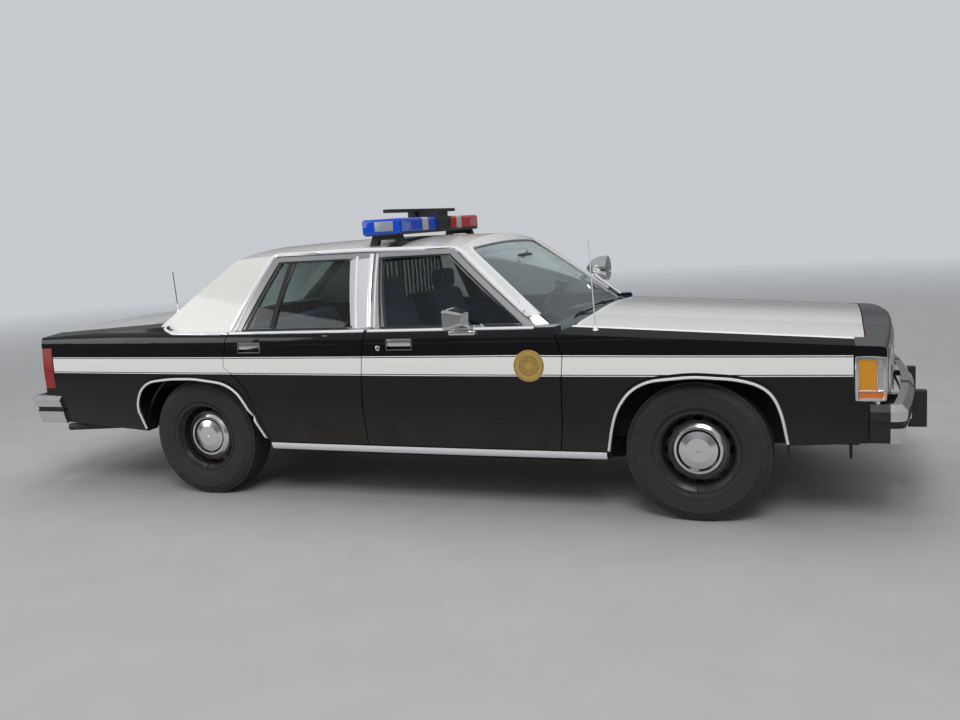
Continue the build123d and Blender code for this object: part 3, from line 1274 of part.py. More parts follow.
# Spotlight on the left A pillar
with BuildPart() as spotlight:
    with BuildSketch(Plane(origin=SPOT_PLACE, x_dir=(1, 0, 0), z_dir=(0, 1, 0))):
        with BuildLine():
            Polyline((70, 0), (70, 82), (52, 82))
            ThreePointArc((52, 82), (-30, 62), (-80, 0))
            Line((-80, 0), (70, 0))
        make_face()
    revolve(axis=Axis(SPOT_PLACE, (1, 0, 0)))
    with BuildSketch(Plane(origin=SPOT_PLACE, x_dir=(1, 0, 0), z_dir=SPOT_ARM)):
        Circle(9)
    extrude(amount=SPOT_ARM_LENGTH)
    add(cabin_volume(-SEAT_GAP), mode=Mode.SUBTRACT)
write(spotlight, "spotlight")


# Door mirrors: a tapered head on an arm that rises from a foot on the door's ledge
with BuildPart() as mirror_right:
    with BuildSketch(cross(MIRROR_REAR)):
        with Locations(MIRROR_MIDDLE):
            RectangleRounded(*MIRROR_HEAD, 16)
    extrude(amount=22)
    with BuildSketch(cross(MIRROR_REAR + 22)):
        with Locations(MIRROR_MIDDLE):
            RectangleRounded(*MIRROR_HEAD, 16)
    with BuildSketch(cross(MIRROR_REAR + 84)):
        with Locations((MIRROR_MIDDLE[0] + 14, MIRROR_MIDDLE[1] - 2)):
            RectangleRounded(MIRROR_HEAD[0] - 64, MIRROR_HEAD[1] - 40, 14)
    loft()
    # glass set back inside its rim
    with BuildSketch(cross(MIRROR_REAR)):
        with Locations(MIRROR_MIDDLE):
            RectangleRounded(MIRROR_HEAD[0] - 12, MIRROR_HEAD[1] - 12, 11)
    extrude(amount=4, mode=Mode.SUBTRACT)
    with BuildSketch(cross(MIRROR_REAR + 34)):
        with BuildLine():
            Polyline(*MIRROR_ARM, close=True)
        make_face()
    extrude(amount=40)
    add(side_prism([(MIRROR_REAR - 2, BELT_HEIGHT + SEAT_GAP), (MIRROR_REAR + 160, BELT_HEIGHT + SEAT_GAP),
                    (MIRROR_REAR + 140, BELT_HEIGHT + 14), (MIRROR_REAR + 14, BELT_HEIGHT + 14)], -938, -905))
write(mirror_right, "mirror_right")
with BuildPart() as mirror_left:
    mirror(mirror_right.part, about=Plane.XZ)
write(mirror_left, "mirror_left")
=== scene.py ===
"""Looks of a full-size police patrol car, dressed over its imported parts.

Places are given as on the part's own drawings: the station is the distance ahead of the rear
axle, the width is measured to the car's left from the middle and the height from the ground,
all in metres. One function turns them into the shared frame.
"""

from __future__ import annotations

import logging
import math
from contextlib import contextmanager
from dataclasses import dataclass
from enum import Enum
from typing import Any, Callable, Iterator, Sequence

import bmesh
import bpy
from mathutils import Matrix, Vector


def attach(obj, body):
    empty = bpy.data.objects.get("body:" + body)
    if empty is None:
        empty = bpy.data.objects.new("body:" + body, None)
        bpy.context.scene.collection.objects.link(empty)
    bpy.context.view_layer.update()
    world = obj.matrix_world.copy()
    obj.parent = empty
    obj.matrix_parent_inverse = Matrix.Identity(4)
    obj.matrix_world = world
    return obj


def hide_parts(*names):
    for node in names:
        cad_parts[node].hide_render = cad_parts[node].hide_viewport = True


log = logging.getLogger("patrol_car")

MIDDLE = 1.2725  # station of the shared frame's origin
AXLE_HEIGHT = 0.348
WHEELBASE = 2.903
CLEAR_OF_SIDE = 1.3  # width outside the mirrors, where a level look starts
CLEAR_OF_ROOF = 2.2  # height over the lightbar, where a look straight down starts
WELD = 0.00002  # vertices closer than this are one
SINK = 0.001  # how far the back of a moulding lies under the surface

Point = tuple[float, float]
Place = tuple[float, float, float]
Colour = tuple[float, float, float]


class Hand(Enum):
    """A side of the car, with the sign of its width."""

    RIGHT = -1
    LEFT = 1

    @property
    def word(self) -> str:
        """The side's name as the parts use it."""
        return self.name.lower()

    @property
    def inward(self) -> Vector:
        """The direction from this side to the middle of the car."""
        return Vector((0, -self.value, 0))

    def span(self, inner: float, outer: float) -> tuple[float, float]:
        """Two widths of this side as coordinates, the lower one first."""
        low, high = sorted((self.value * inner, self.value * outer))
        return low, high


def place(station: float, width: float, height: float) -> Vector:
    """Turns a drawing place into the shared frame.

    Args:
        station: metres ahead of the rear axle.
        width: metres to the left of the middle.
        height: metres above the ground.

    Returns:
        The same place in the shared frame.
    """
    return Vector((station - MIDDLE, width, height))


# Mesh making


def deselect() -> None:
    """Leaves nothing selected, since an operator acts on all that is."""
    bpy.ops.object.select_all(action="DESELECT")


def take(piece: bpy.types.Object) -> None:
    """Selects one piece alone and makes it the active one."""
    deselect()
    piece.select_set(True)
    bpy.context.view_layer.objects.active = piece


def settle(piece: bpy.types.Object, name: str) -> bpy.types.Object:
    """Names a piece and puts its place into its mesh.

    Args:
        piece: the piece, wherever its object stands.
        name: the name it gets.

    Returns:
        The same piece, at the origin.
    """
    take(piece)
    bpy.ops.object.transform_apply(location=True, rotation=True, scale=True)
    piece.name = name
    piece.data.name = name
    return piece


@contextmanager
def editing(piece: bpy.types.Object, mode: str = "FACE") -> Iterator[bmesh.types.BMesh]:
    """Opens a piece in edit mode with nothing selected.

    Args:
        piece: the piece to edit.
        mode: what is selected, VERT, EDGE or FACE.

    Returns:
        The edit mesh, for choosing faces by their place.
    """
    take(piece)
    bpy.ops.object.mode_set(mode="EDIT")
    bpy.ops.mesh.select_mode(type=mode)
    bpy.ops.mesh.select_all(action="DESELECT")
    yield bmesh.from_edit_mesh(piece.data)
    bpy.ops.object.mode_set(mode="OBJECT")


def pick_faces(piece: bpy.types.Object, test: Callable[[Vector, Vector], bool]) -> None:
    """Selects the faces of the edited piece that pass a test of centre and normal."""
    grid = bmesh.from_edit_mesh(piece.data)
    for face in grid.faces:
        face.select_set(test(face.calc_center_median(), face.normal))
    bmesh.update_edit_mesh(piece.data)


def smooth(piece: bpy.types.Object, degrees: float = 35.0) -> bpy.types.Object:
    """Shades a piece smooth up to an angle and returns it."""
    take(piece)
    bpy.ops.object.shade_smooth_by_angle(angle=math.radians(degrees))
    return piece


def modify(piece: bpy.types.Object, kind: str, **settings: Any) -> bpy.types.Object:
    """Adds a modifier and applies it at once.

    Args:
        piece: the piece it works on.
        kind: Blender's name for the modifier.
        settings: the modifier's own values.

    Returns:
        The finished piece.
    """
    modifier = piece.modifiers.new(kind.title(), kind)
    for key, value in settings.items():
        setattr(modifier, key, value)
    take(piece)
    bpy.ops.object.modifier_apply(modifier=modifier.name)
    return piece


def block(name: str, low: Vector, high: Vector, bevel: float = 0.004, steps: int = 2) -> bpy.types.Object:
    """Makes a box with rounded edges.

    Args:
        name: the piece's name.
        low: its lowest corner.
        high: its highest corner.
        bevel: the width of the rounding.
        steps: the segments of the rounding.

    Returns:
        The box.
    """
    deselect()
    bpy.ops.mesh.primitive_cube_add(size=1, location=(low + high) / 2)
    piece = bpy.context.active_object
    piece.scale = high - low
    settle(piece, name)
    with editing(piece, "EDGE"):
        bpy.ops.mesh.select_all(action="SELECT")
        bpy.ops.mesh.bevel(offset=bevel, segments=steps, affect="EDGES")
    return smooth(piece)


def ring(name: str, count: int, fill: str, radius: float = 1.0) -> bpy.types.Object:
    """Makes a circle at the origin.

    Args:
        name: the piece's name.
        count: its vertices, which the caller may move.
        fill: NGON for a face inside it, or NOTHING.
        radius: its radius.

    Returns:
        The circle.
    """
    deselect()
    bpy.ops.mesh.primitive_circle_add(vertices=count, radius=radius, fill_type=fill, location=(0, 0, 0))
    return settle(bpy.context.active_object, name)


def turned(name: str, profile: Sequence[Point], centre: Vector, axis: Vector, steps: int = 48,
           closed: bool = False) -> bpy.types.Object:
    """Spins a profile round an axis, as on a lathe.

    Args:
        name: the piece's name.
        profile: pairs of radius and distance along the axis.
        centre: where the axis has distance zero.
        axis: the axis direction.
        steps: copies of the profile in a full turn.
        closed: whether the profile is a loop clear of the axis.

    Returns:
        The turned piece, closed wherever the profile meets the axis.
    """
    along = axis.normalized()
    out = along.orthogonal().normalized()
    piece = ring(name, len(profile), "NOTHING")
    for point, (radius, distance) in zip(piece.data.vertices, profile):
        point.co = centre + out * radius + along * distance
    with editing(piece, "EDGE") as grid:
        grid.verts.ensure_lookup_table()
        first, last = grid.verts[0], grid.verts[len(profile) - 1]
        if not closed:
            for edge in grid.edges:
                edge.select_set(first in edge.verts and last in edge.verts)
            bpy.ops.mesh.delete(type="EDGE")
        bpy.ops.mesh.select_all(action="SELECT")
        bpy.ops.mesh.spin(steps=steps, angle=math.tau, center=centre, axis=along)
        bpy.ops.mesh.select_all(action="SELECT")
        bpy.ops.mesh.remove_doubles(threshold=WELD)
        bpy.ops.mesh.normals_make_consistent(inside=False)
    return smooth(piece)


@dataclass(frozen=True)
class Spot:
    """One section of a strip: its place and its two directions."""

    at: Vector
    across: Vector
    out: Vector

    def point(self, offset: Point) -> Vector:
        """A point of the section, given across and outwards."""
        return self.at + self.across * offset[0] + self.out * offset[1]


def strip(name: str, spots: Sequence[Spot], section: Sequence[Point],
          closed: bool = False) -> bpy.types.Object:
    """Extrudes a section along a row of spots.

    Args:
        name: the piece's name.
        spots: the places that the section passes.
        section: its corners, across and outwards.
        closed: whether the strip ends where it begins.

    Returns:
        The strip, with capped ends unless it is closed.
    """
    piece = ring(name, len(section), "NOTHING" if closed else "NGON")
    for point, offset in zip(piece.data.vertices, section):
        point.co = spots[0].point(offset)
    rest = list(spots[1:]) + ([spots[0]] if closed else [])
    with editing(piece, "EDGE") as grid:
        bpy.ops.mesh.select_all(action="SELECT")
        before = spots[0]
        for spot in rest:
            bpy.ops.mesh.extrude_region_move()
            corners = [before.point(offset) for offset in section]
            grid = bmesh.from_edit_mesh(piece.data)
            for vertex in [v for v in grid.verts if v.select]:
                nearest = min(range(len(corners)), key=lambda i: (corners[i] - vertex.co).length_squared)
                vertex.co = spot.point(section[nearest])
            bmesh.update_edit_mesh(piece.data)
            before = spot
        bpy.ops.mesh.select_all(action="SELECT")
        bpy.ops.mesh.remove_doubles(threshold=WELD)
        bpy.ops.mesh.normals_make_consistent(inside=False)
    return smooth(piece)


def half_round(width: float, height: float) -> list[Point]:
    """The section of a pressed moulding, sunk a little into what carries it."""
    half, crown, shoulder = width / 2, width / 2 * 0.55, height * 0.4
    return [(-half, -SINK), (-half, shoulder), (-crown, height),
            (crown, height), (half, shoulder), (half, -SINK)]


def tube_section(radius: float, sides: int = 10) -> list[Point]:
    """The section of a round bar."""
    turns = [math.tau * i / sides for i in range(sides)]
    return [(radius * math.cos(turn), radius * math.sin(turn)) for turn in turns]


def row_of_spots(points: Sequence[Vector], outs: Sequence[Vector], closed: bool = False) -> list[Spot]:
    """Works out the sections' directions from places and outward directions.

    Args:
        points: the places in order.
        outs: the outward direction at each.
        closed: whether the last place is followed by the first.

    Returns:
        One spot for each place.
    """
    spots = []
    count = len(points)
    for i, (point, out) in enumerate(zip(points, outs)):
        before = points[(i - 1) % count] if closed or i > 0 else point
        after = points[(i + 1) % count] if closed or i < count - 1 else point
        run = (after - before).normalized()
        across = out.cross(run).normalized()
        spots.append(Spot(point, across, run.cross(across).normalized()))
    return spots


def fine(points: Sequence[Point], gap: float = 0.05, closed: bool = False) -> list[Point]:
    """Adds places along straight runs, so that a strip follows a curved skin.

    Args:
        points: the corners of the route.
        gap: the longest distance between two places.
        closed: whether the route returns to its start.

    Returns:
        The corners with the added places.
    """
    ends = list(points[1:]) + ([points[0]] if closed else [])
    dense = [points[0]]
    for start, end in zip(points, ends):
        pieces = max(1, math.ceil(math.dist(start, end) / gap))
        dense += [(start[0] + (end[0] - start[0]) * i / pieces, start[1] + (end[1] - start[1]) * i / pieces)
                  for i in range(1, pieces + 1)]
    return dense[:-1] if closed else dense


def rounded(points: Sequence[Point], radius: float, steps: int = 4) -> list[Point]:
    """Rounds the inner corners of an open route.

    Args:
        points: the corners of the route.
        radius: how far from a corner the rounding begins.
        steps: the places on each rounding.

    Returns:
        The route with rounded corners.
    """
    route = [points[0]]
    for before, corner, after in zip(points, points[1:], points[2:]):
        start, end = (Vector(corner) + (Vector(other) - Vector(corner)).normalized()
                      * min(radius, (Vector(other) - Vector(corner)).length / 2) for other in (before, after))
        for i in range(steps + 1):
            t = i / steps
            spot = start * (1 - t) ** 2 + Vector(corner) * 2 * t * (1 - t) + end * t ** 2
            route.append((spot.x, spot.y))
    return route + [points[-1]]


class Skin:
    """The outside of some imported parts, found by looking at them along a line."""

    def __init__(self, *nodes: str) -> None:
        """Keeps the named parts."""
        self.parts = [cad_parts[node] for node in nodes]

    def look(self, eye: Vector, ray: Vector) -> tuple[Vector, Vector] | None:
        """Finds the first place hit from an eye along a ray.

        Args:
            eye: where the look starts.
            ray: its direction.

        Returns:
            The place and the outward normal, or None where nothing is hit.
        """
        hits = []
        for part in self.parts:
            found, at, normal, _ = part.ray_cast(eye, ray)
            if found:
                hits.append(((at - eye).length, at.copy(), normal.copy()))
        if not hits:
            return None
        _, at, normal = min(hits, key=lambda hit: hit[0])
        return at, (normal if normal.dot(ray) < 0 else -normal)

    def from_side(self, hand: Hand, station: float, height: float) -> tuple[Vector, Vector]:
        """The place and normal seen level from one side of the car."""
        found = self.look(place(station, hand.value * CLEAR_OF_SIDE, height), hand.inward)
        if found is None:
            raise ValueError(f"nothing at station {station:.3f}, height {height:.3f}")
        return found

    def from_above(self, station: float, width: float) -> tuple[Vector, Vector]:
        """The place and normal seen from straight above."""
        found = self.look(place(station, width, CLEAR_OF_ROOF), Vector((0, 0, -1)))
        if found is None:
            raise ValueError(f"nothing below station {station:.3f}, width {width:.3f}")
        return found

    def side_strip(self, name: str, hand: Hand, route: Sequence[Point], section: Sequence[Point],
                   closed: bool = False) -> bpy.types.Object:
        """Lays a strip on the skin along a route drawn from the side.

        Args:
            name: the piece's name.
            hand: the side of the car.
            route: stations and heights.
            section: the strip's corners.
            closed: whether the strip ends where it begins.

        Returns:
            The strip.
        """
        eyes = [place(station, hand.value * CLEAR_OF_SIDE, height)
                for station, height in fine(route, closed=closed)]
        found = [hit for hit in (self.look(eye, hand.inward) for eye in eyes) if hit is not None]
        if len(found) < len(eyes):
            log.info("%s: %d of %d places are off the skin", name, len(eyes) - len(found), len(eyes))
        points = [at for at, _ in found]
        outs = [Vector((normal.x * 0.3, normal.y, normal.z)).normalized() for _, normal in found]
        return strip(name, row_of_spots(points, outs, closed), section, closed)


# Finishes


class Board:
    """The node tree of one material, with short ways to add to it."""

    def __init__(self, name: str) -> None:
        """Makes a material with its shader."""
        self.material = bpy.data.materials.new(name)
        self.material.use_nodes = True
        self.tree = self.material.node_tree
        self.shader = next(n for n in self.tree.nodes if n.type == "BSDF_PRINCIPLED")

    def add(self, kind: str, **settings: Any) -> bpy.types.Node:
        """Adds a node and sets its own properties."""
        node = self.tree.nodes.new(kind)
        for key, value in settings.items():
            setattr(node, key, value)
        return node

    def feed(self, socket: bpy.types.NodeSocket, value: Any) -> None:
        """Links a socket to another, or sets its number."""
        if isinstance(value, bpy.types.NodeSocket):
            self.tree.links.new(value, socket)
        else:
            socket.default_value = value

    def math(self, operation: str, first: Any, second: Any = 0.0) -> bpy.types.NodeSocket:
        """The result of one sum on two numbers or sockets."""
        node = self.add("ShaderNodeMath", operation=operation)
        self.feed(node.inputs[0], first)
        self.feed(node.inputs[1], second)
        return node.outputs[0]

    def product(self, *masks: Any) -> Any:
        """Several masks multiplied together."""
        result = masks[0]
        for mask in masks[1:]:
            result = self.math("MULTIPLY", result, mask)
        return result

    def larger(self, *masks: Any) -> Any:
        """Several masks laid over each other."""
        result = masks[0]
        for mask in masks[1:]:
            result = self.math("MAXIMUM", result, mask)
        return result

    def coordinates(self) -> Any:
        """The shared frame's coordinates, which stay with a piece that moves."""
        return self.add("ShaderNodeTexCoord").outputs["Object"]

    def split(self, vector: Any) -> tuple[Any, Any, Any]:
        """The three parts of a vector."""
        node = self.add("ShaderNodeSeparateXYZ")
        self.feed(node.inputs[0], vector)
        return node.outputs[0], node.outputs[1], node.outputs[2]

    def axes(self) -> tuple[Any, Any, Any]:
        """The three coordinates of the shared frame."""
        return self.split(self.coordinates())

    def facing(self) -> tuple[Any, Any, Any]:
        """The three parts of the surface's direction in the shared frame."""
        return self.split(self.add("ShaderNodeTexCoord").outputs["Normal"])

    def away_from(self, station: float, height: float) -> tuple[Any, Any, Any]:
        """How far a place seen from the side lies ahead of a point, above it and away from it."""
        x, _, z = self.axes()
        ahead = self.math("SUBTRACT", x, station - MIDDLE)
        rise = self.math("SUBTRACT", z, height)
        return ahead, rise, self.length(ahead, rise)

    def length(self, first: Any, second: Any) -> Any:
        """The length of the long side over two sides at right angles."""
        squares = self.math("ADD", self.product(first, first), self.product(second, second))
        return self.math("SQRT", squares)

    def size(self, value: Any) -> Any:
        """A value without its sign."""
        return self.math("ABSOLUTE", value)

    def above(self, value: Any, edge: Any) -> Any:
        """One where a value is over an edge."""
        return self.math("GREATER_THAN", value, edge)

    def below(self, value: Any, edge: Any) -> Any:
        """One where a value is under an edge."""
        return self.math("LESS_THAN", value, edge)

    def band(self, value: Any, low: Any, high: Any) -> Any:
        """One where a value is between two edges."""
        return self.product(self.above(value, low), self.below(value, high))

    def ramp(self, value: Any, low: float, high: float, first: float = 0.0, last: float = 1.0) -> Any:
        """A value carried from one range to another, held at its ends."""
        node = self.add("ShaderNodeMapRange")
        for index, number in enumerate((value, low, high, first, last)):
            self.feed(node.inputs[index], number)
        return node.outputs[0]

    def noise(self, scale: float, detail: float) -> Any:
        """Soft random values on the shared frame's coordinates."""
        node = self.add("ShaderNodeTexNoise")
        self.feed(node.inputs["Vector"], self.coordinates())
        node.inputs["Scale"].default_value = scale
        node.inputs["Detail"].default_value = detail
        return node.outputs[0]

    def wave(self, scale: float, direction: str) -> Any:
        """Even ribs across one direction of the shared frame."""
        node = self.add("ShaderNodeTexWave", bands_direction=direction)
        self.feed(node.inputs["Vector"], self.coordinates())
        node.inputs["Scale"].default_value = scale
        return node.outputs["Fac"]

    def mix(self, factor: Any, first: Any, second: Any) -> Any:
        """Two colours mixed by a factor."""
        node = self.add("ShaderNodeMix", data_type="RGBA")
        self.feed(node.inputs[0], factor)
        for socket, colour in ((node.inputs[6], first), (node.inputs[7], second)):
            self.feed(socket, (*colour, 1.0) if isinstance(colour, tuple) else colour)
        return node.outputs[2]

    def bump(self, height: Any, strength: float, distance: float) -> None:
        """Adds relief to the shader."""
        node = self.add("ShaderNodeBump")
        node.inputs["Strength"].default_value = strength
        node.inputs["Distance"].default_value = distance
        self.feed(node.inputs["Height"], height)
        self.feed(self.shader.inputs["Normal"], node.outputs[0])

    def set(self, **values: Any) -> None:
        """Sets or links the shader's sockets, with spaces written as underscores."""
        for key, value in values.items():
            socket = self.shader.inputs[key.replace("_", " ")]
            self.feed(socket, (*value, 1.0) if isinstance(value, tuple) and len(value) == 3 else value)

    @property
    def colour(self) -> Any:
        """What gives the shader its colour so far."""
        return self.shader.inputs["Base Color"].links[0].from_socket


@dataclass(frozen=True)
class Finish:
    """A plain moulded, painted or cast surface with a slightly uneven tone."""

    name: str
    colour: Colour
    roughness: float = 0.5
    metallic: float = 0.0
    coat: float = 0.0
    tone: float = 0.25
    grain: float = 300.0
    relief: float = 0.0002

    def make(self) -> bpy.types.Material:
        """Builds the material.

        Returns:
            The material, ready to assign.
        """
        board = Board(self.name)
        self.paint(board)
        return board.material

    def paint(self, board: Board) -> None:
        """Sets up the shader.

        Args:
            board: the material's node tree.
        """
        dark = tuple(channel * (1 - self.tone) for channel in self.colour)
        wear = board.ramp(board.noise(23.0, 3.0), 0.3, 0.7, self.roughness * 0.85, self.roughness * 1.15)
        board.set(Base_Color=board.mix(board.noise(9.0, 4.0), dark, self.colour), Roughness=wear,
                  Metallic=self.metallic, Coat_Weight=self.coat, Coat_Roughness=0.04)
        board.bump(board.noise(self.grain, 3.0), 0.35, self.relief)


@dataclass(frozen=True)
class BodyPaint(Finish):
    """Gloss paint with a pale band between two fine lines along the side, and road dust low down.

    The band's edges run level up to a station and then drop towards the front. What a body part
    shows above the belt has the upper colour, and what it shows to the cabin the trim colour.
    """

    dust: Colour = (0.20, 0.17, 0.13)
    dust_heights: Point = (0.62, 0.28)
    band: Colour = (0.72, 0.72, 0.69)
    band_rear: float = -1.128
    band_front: float = 3.605
    low_edge_from: float = 0.2
    low_edge: Point = (0.749, 0.731)
    high_edge_from: float = 2.0
    high_edge: Point = (0.847, 0.827)
    line: float = 0.0045
    upper: Colour = (0.60, 0.59, 0.56)
    upper_metal: float = 0.0
    quarter_stations: Point = (-0.12, -0.20)
    quarter_heights: Point = (0.981, 1.0265)
    trim: Colour = (0.05, 0.09, 0.19)
    trim_stations: Point = (0.2, 2.26)
    trim_top: float = 0.975
    jamb_front: float = 2.12
    jamb_heights: Point = (0.33, 0.55)
    jamb_widths: Point = (0.862, 0.902)
    striped: bool = True
    crown: Colour = (0.70, 0.70, 0.67)
    crown_half: float = 0.0
    crown_foot: float = 0.84

    def stripe(self, board: Board, x: Any, z: Any) -> Any:
        """The mask of the band with its two lines."""
        front = self.band_front - MIDDLE
        low = board.ramp(x, self.low_edge_from - MIDDLE, front, *self.low_edge)
        high = board.ramp(x, self.high_edge_from - MIDDLE, front, *self.high_edge)
        over = board.math("SUBTRACT", z, low)
        under = board.math("SUBTRACT", high, z)
        wide = board.product(board.above(over, 2 * self.line), board.above(under, 2 * self.line))
        lines = board.larger(board.band(over, 0.0, self.line), board.band(under, 0.0, self.line))
        return board.product(board.band(x, self.band_rear - MIDDLE, front), board.larger(wide, lines))

    def cabin_side(self, board: Board, place_parts: tuple[Any, Any, Any], outward: Any) -> Any:
        """The mask of the faces towards the cabin."""
        x, y, z = place_parts
        jamb = board.below(board.size(y), board.ramp(z, *self.jamb_heights, *self.jamb_widths))
        jamb = board.product(jamb, board.below(x, self.jamb_front - MIDDLE))
        rear, front = self.trim_stations
        return board.product(board.larger(jamb, board.below(outward, 0.5)), board.below(z, self.trim_top),
                             board.band(x, rear - MIDDLE, front - MIDDLE))

    def paint(self, board: Board) -> None:
        """Sets up the shader."""
        x, y, z = board.axes()
        dust = board.product(board.ramp(z, *self.dust_heights, 0.0, 0.20), board.noise(7.0, 5.0))
        colour = board.mix(dust, self.colour, self.dust)
        if self.striped:
            _, across, up = board.facing()
            outward = board.above(board.product(across, board.math("SIGN", y)), -0.2)
            colour = board.mix(board.product(outward, self.stripe(board, x, z)), colour, self.band)
            first, last = (station - MIDDLE for station in self.quarter_stations)
            frame_part = board.above(z, board.ramp(x, first, last, *self.quarter_heights))
            colour = board.mix(frame_part, colour, self.upper)
            inside = self.cabin_side(board, (x, y, z), outward)
            colour = board.mix(inside, colour, self.trim)
            soft = board.larger(inside, board.product(frame_part, 0.5))
            if self.crown_half:
                crown = board.product(board.below(board.size(y), self.crown_half),
                                      board.above(z, self.crown_foot))
                colour = board.mix(crown, colour, self.crown)
                soft = board.larger(soft, board.above(up, 0.8))
            board.set(Coat_Weight=board.ramp(soft, 0.0, 1.0, self.coat, 0.0),
                      Roughness=board.ramp(soft, 0.0, 1.0, self.roughness, 0.55),
                      Metallic=board.product(frame_part, self.upper_metal))
        else:
            board.set(Coat_Weight=self.coat, Roughness=self.roughness)
        board.set(Base_Color=colour, Coat_Roughness=0.03, Specular_IOR_Level=0.2)
        board.bump(board.noise(1400.0, 2.0), 0.03, 0.0001)


@dataclass(frozen=True)
class HeaderPaint(BodyPaint):
    """The nose panel: black paint, with its face plated round the grille and lamps."""

    plating: Colour = (0.74, 0.74, 0.74)
    face_heights: Point = (0.644, 0.856)
    face_rear: float = 3.690
    face_half: float = 0.812

    def paint(self, board: Board) -> None:
        """Sets up the shader."""
        super().paint(board)
        x, y, z = board.axes()
        face = board.product(board.band(z, *self.face_heights), board.above(x, self.face_rear - MIDDLE),
                             board.below(board.size(y), self.face_half))
        board.set(Base_Color=board.mix(face, board.colour, self.plating), Metallic=face)


@dataclass(frozen=True)
class LidPaint(Finish):
    """The deck lid's paint, with the aerial that stands on it left dark."""

    aerial: Colour = (0.03, 0.03, 0.03)
    foot: float = 1.085

    def paint(self, board: Board) -> None:
        """Sets up the shader."""
        _, _, z = board.axes()
        dark = tuple(channel * (1 - self.tone) for channel in self.colour)
        paint = board.mix(board.noise(9.0, 4.0), dark, self.colour)
        board.set(Base_Color=board.mix(board.above(z, self.foot), paint, self.aerial),
                  Roughness=self.roughness, Coat_Weight=self.coat, Coat_Roughness=0.04)
        board.bump(board.noise(self.grain, 3.0), 0.35, self.relief)


@dataclass(frozen=True)
class FloorFinish(Finish):
    """Carpet on what faces up and underseal on the rest."""

    under: Colour = (0.016, 0.015, 0.014)

    def paint(self, board: Board) -> None:
        """Sets up the shader."""
        _, _, rise = board.split(board.add("ShaderNodeNewGeometry").outputs["Normal"])
        up = board.above(rise, 0.15)
        pile = board.mix(board.noise(90.0, 4.0), tuple(channel * 0.6 for channel in self.colour), self.colour)
        board.set(Base_Color=board.mix(up, self.under, pile), Roughness=self.roughness)
        board.bump(board.noise(500.0, 3.0), 0.4, self.relief)


@dataclass(frozen=True)
class Chrome(Finish):
    """Bright plating with faint polishing haze and some road film."""

    def paint(self, board: Board) -> None:
        """Sets up the shader."""
        film = board.noise(14.0, 5.0)
        tarnish = tuple(channel * 0.8 for channel in self.colour)
        board.set(Base_Color=board.mix(film, self.colour, tarnish), Metallic=1.0,
                  Roughness=board.ramp(film, 0.35, 0.75, self.roughness, self.roughness + 0.09))
        board.bump(board.noise(220.0, 2.0), 0.02, 0.0002)


@dataclass(frozen=True)
class BumperChrome(Chrome):
    """Chrome bumper whose guards, when it has any, are black rubber, with a dark rub strip."""

    strip_heights: Point = (0.4985, 0.5295)
    guard: float = 0.0
    guard_half: float = 0.031
    guard_rear: float = 3.8225
    end_rear: float = -9.0
    end_width: float = 0.85
    black: Colour = (0.012, 0.012, 0.013)

    def paint(self, board: Board) -> None:
        """Sets up the shader."""
        super().paint(board)
        x, y, z = board.axes()
        width = board.size(y)
        end = board.product(board.below(x, self.end_rear - MIDDLE), board.above(width, self.end_width))
        mask = board.larger(board.band(z, *self.strip_heights), end)
        if self.guard:
            offset = board.size(board.math("SUBTRACT", width, self.guard))
            ahead = board.above(x, self.guard_rear - MIDDLE)
            mask = board.larger(mask, board.product(board.below(offset, self.guard_half), ahead))
        board.set(Base_Color=board.mix(mask, board.colour, self.black),
                  Metallic=board.math("SUBTRACT", 1.0, mask),
                  Roughness=board.ramp(mask, 0.0, 1.0, self.roughness, 0.5))


@dataclass(frozen=True)
class WheelSteel(Finish):
    """Black painted steel wheel with a plated cap and brake dust towards the middle; a near-black ring in the
    cap's groove is painted shade.
    """

    axle: float = 0.0
    cap_width: float = 0.827
    cap_radius: float = 0.1335
    # inner and outer radius of the near-black ring of painted shade in the cap's groove
    groove_radii: Point = (0.094, 0.106)

    def paint(self, board: Board) -> None:
        """Sets up the shader."""
        _, y, _ = board.axes()
        _, _, radius = board.away_from(self.axle, AXLE_HEIGHT)
        cap = board.product(board.below(radius, self.cap_radius), board.above(board.size(y), self.cap_width))
        dust = board.product(board.noise(40.0, 4.0), 0.35)
        paint = board.mix(dust, self.colour, (0.10, 0.08, 0.06))
        # painted shade: the cap's groove is coloured near black instead of being darkened by its shape
        groove = board.product(board.band(radius, *self.groove_radii), cap)
        plated = board.mix(groove, (0.78, 0.78, 0.78), (0.03, 0.03, 0.03))
        board.set(Base_Color=board.mix(cap, paint, plated), Metallic=cap,
                  Roughness=board.ramp(cap, 0.0, 1.0, self.roughness, 0.16))
        board.bump(board.noise(180.0, 3.0), 0.12, 0.0003)


@dataclass(frozen=True)
class Rubber(Finish):
    """Tyre rubber with fine moulded rings and dust."""

    axle: float = 0.0

    def paint(self, board: Board) -> None:
        """Sets up the shader."""
        _, _, radius = board.away_from(self.axle, AXLE_HEIGHT)
        dust = board.product(board.ramp(radius, 0.30, 0.35, 0.25, 0.6), board.noise(30.0, 5.0))
        board.set(Base_Color=board.mix(dust, self.colour, (0.09, 0.08, 0.07)), Roughness=self.roughness)
        rings = board.math("SINE", board.math("MULTIPLY", radius, 1400.0))
        board.bump(board.math("ADD", board.product(rings, 0.4), board.noise(600.0, 3.0)), 0.3, 0.0004)


@dataclass(frozen=True)
class Glass(Finish):
    """Tinted window glass with a trace of dust."""

    ior: float = 1.32

    def paint(self, board: Board) -> None:
        """Sets up the shader."""
        dust = board.noise(6.0, 5.0)
        board.set(Base_Color=self.colour, Transmission_Weight=1.0, IOR=self.ior,
                  Roughness=board.ramp(dust, 0.3, 0.8, self.roughness, self.roughness + 0.03))
        board.bump(board.noise(3.0, 1.0), 0.02, 0.002)


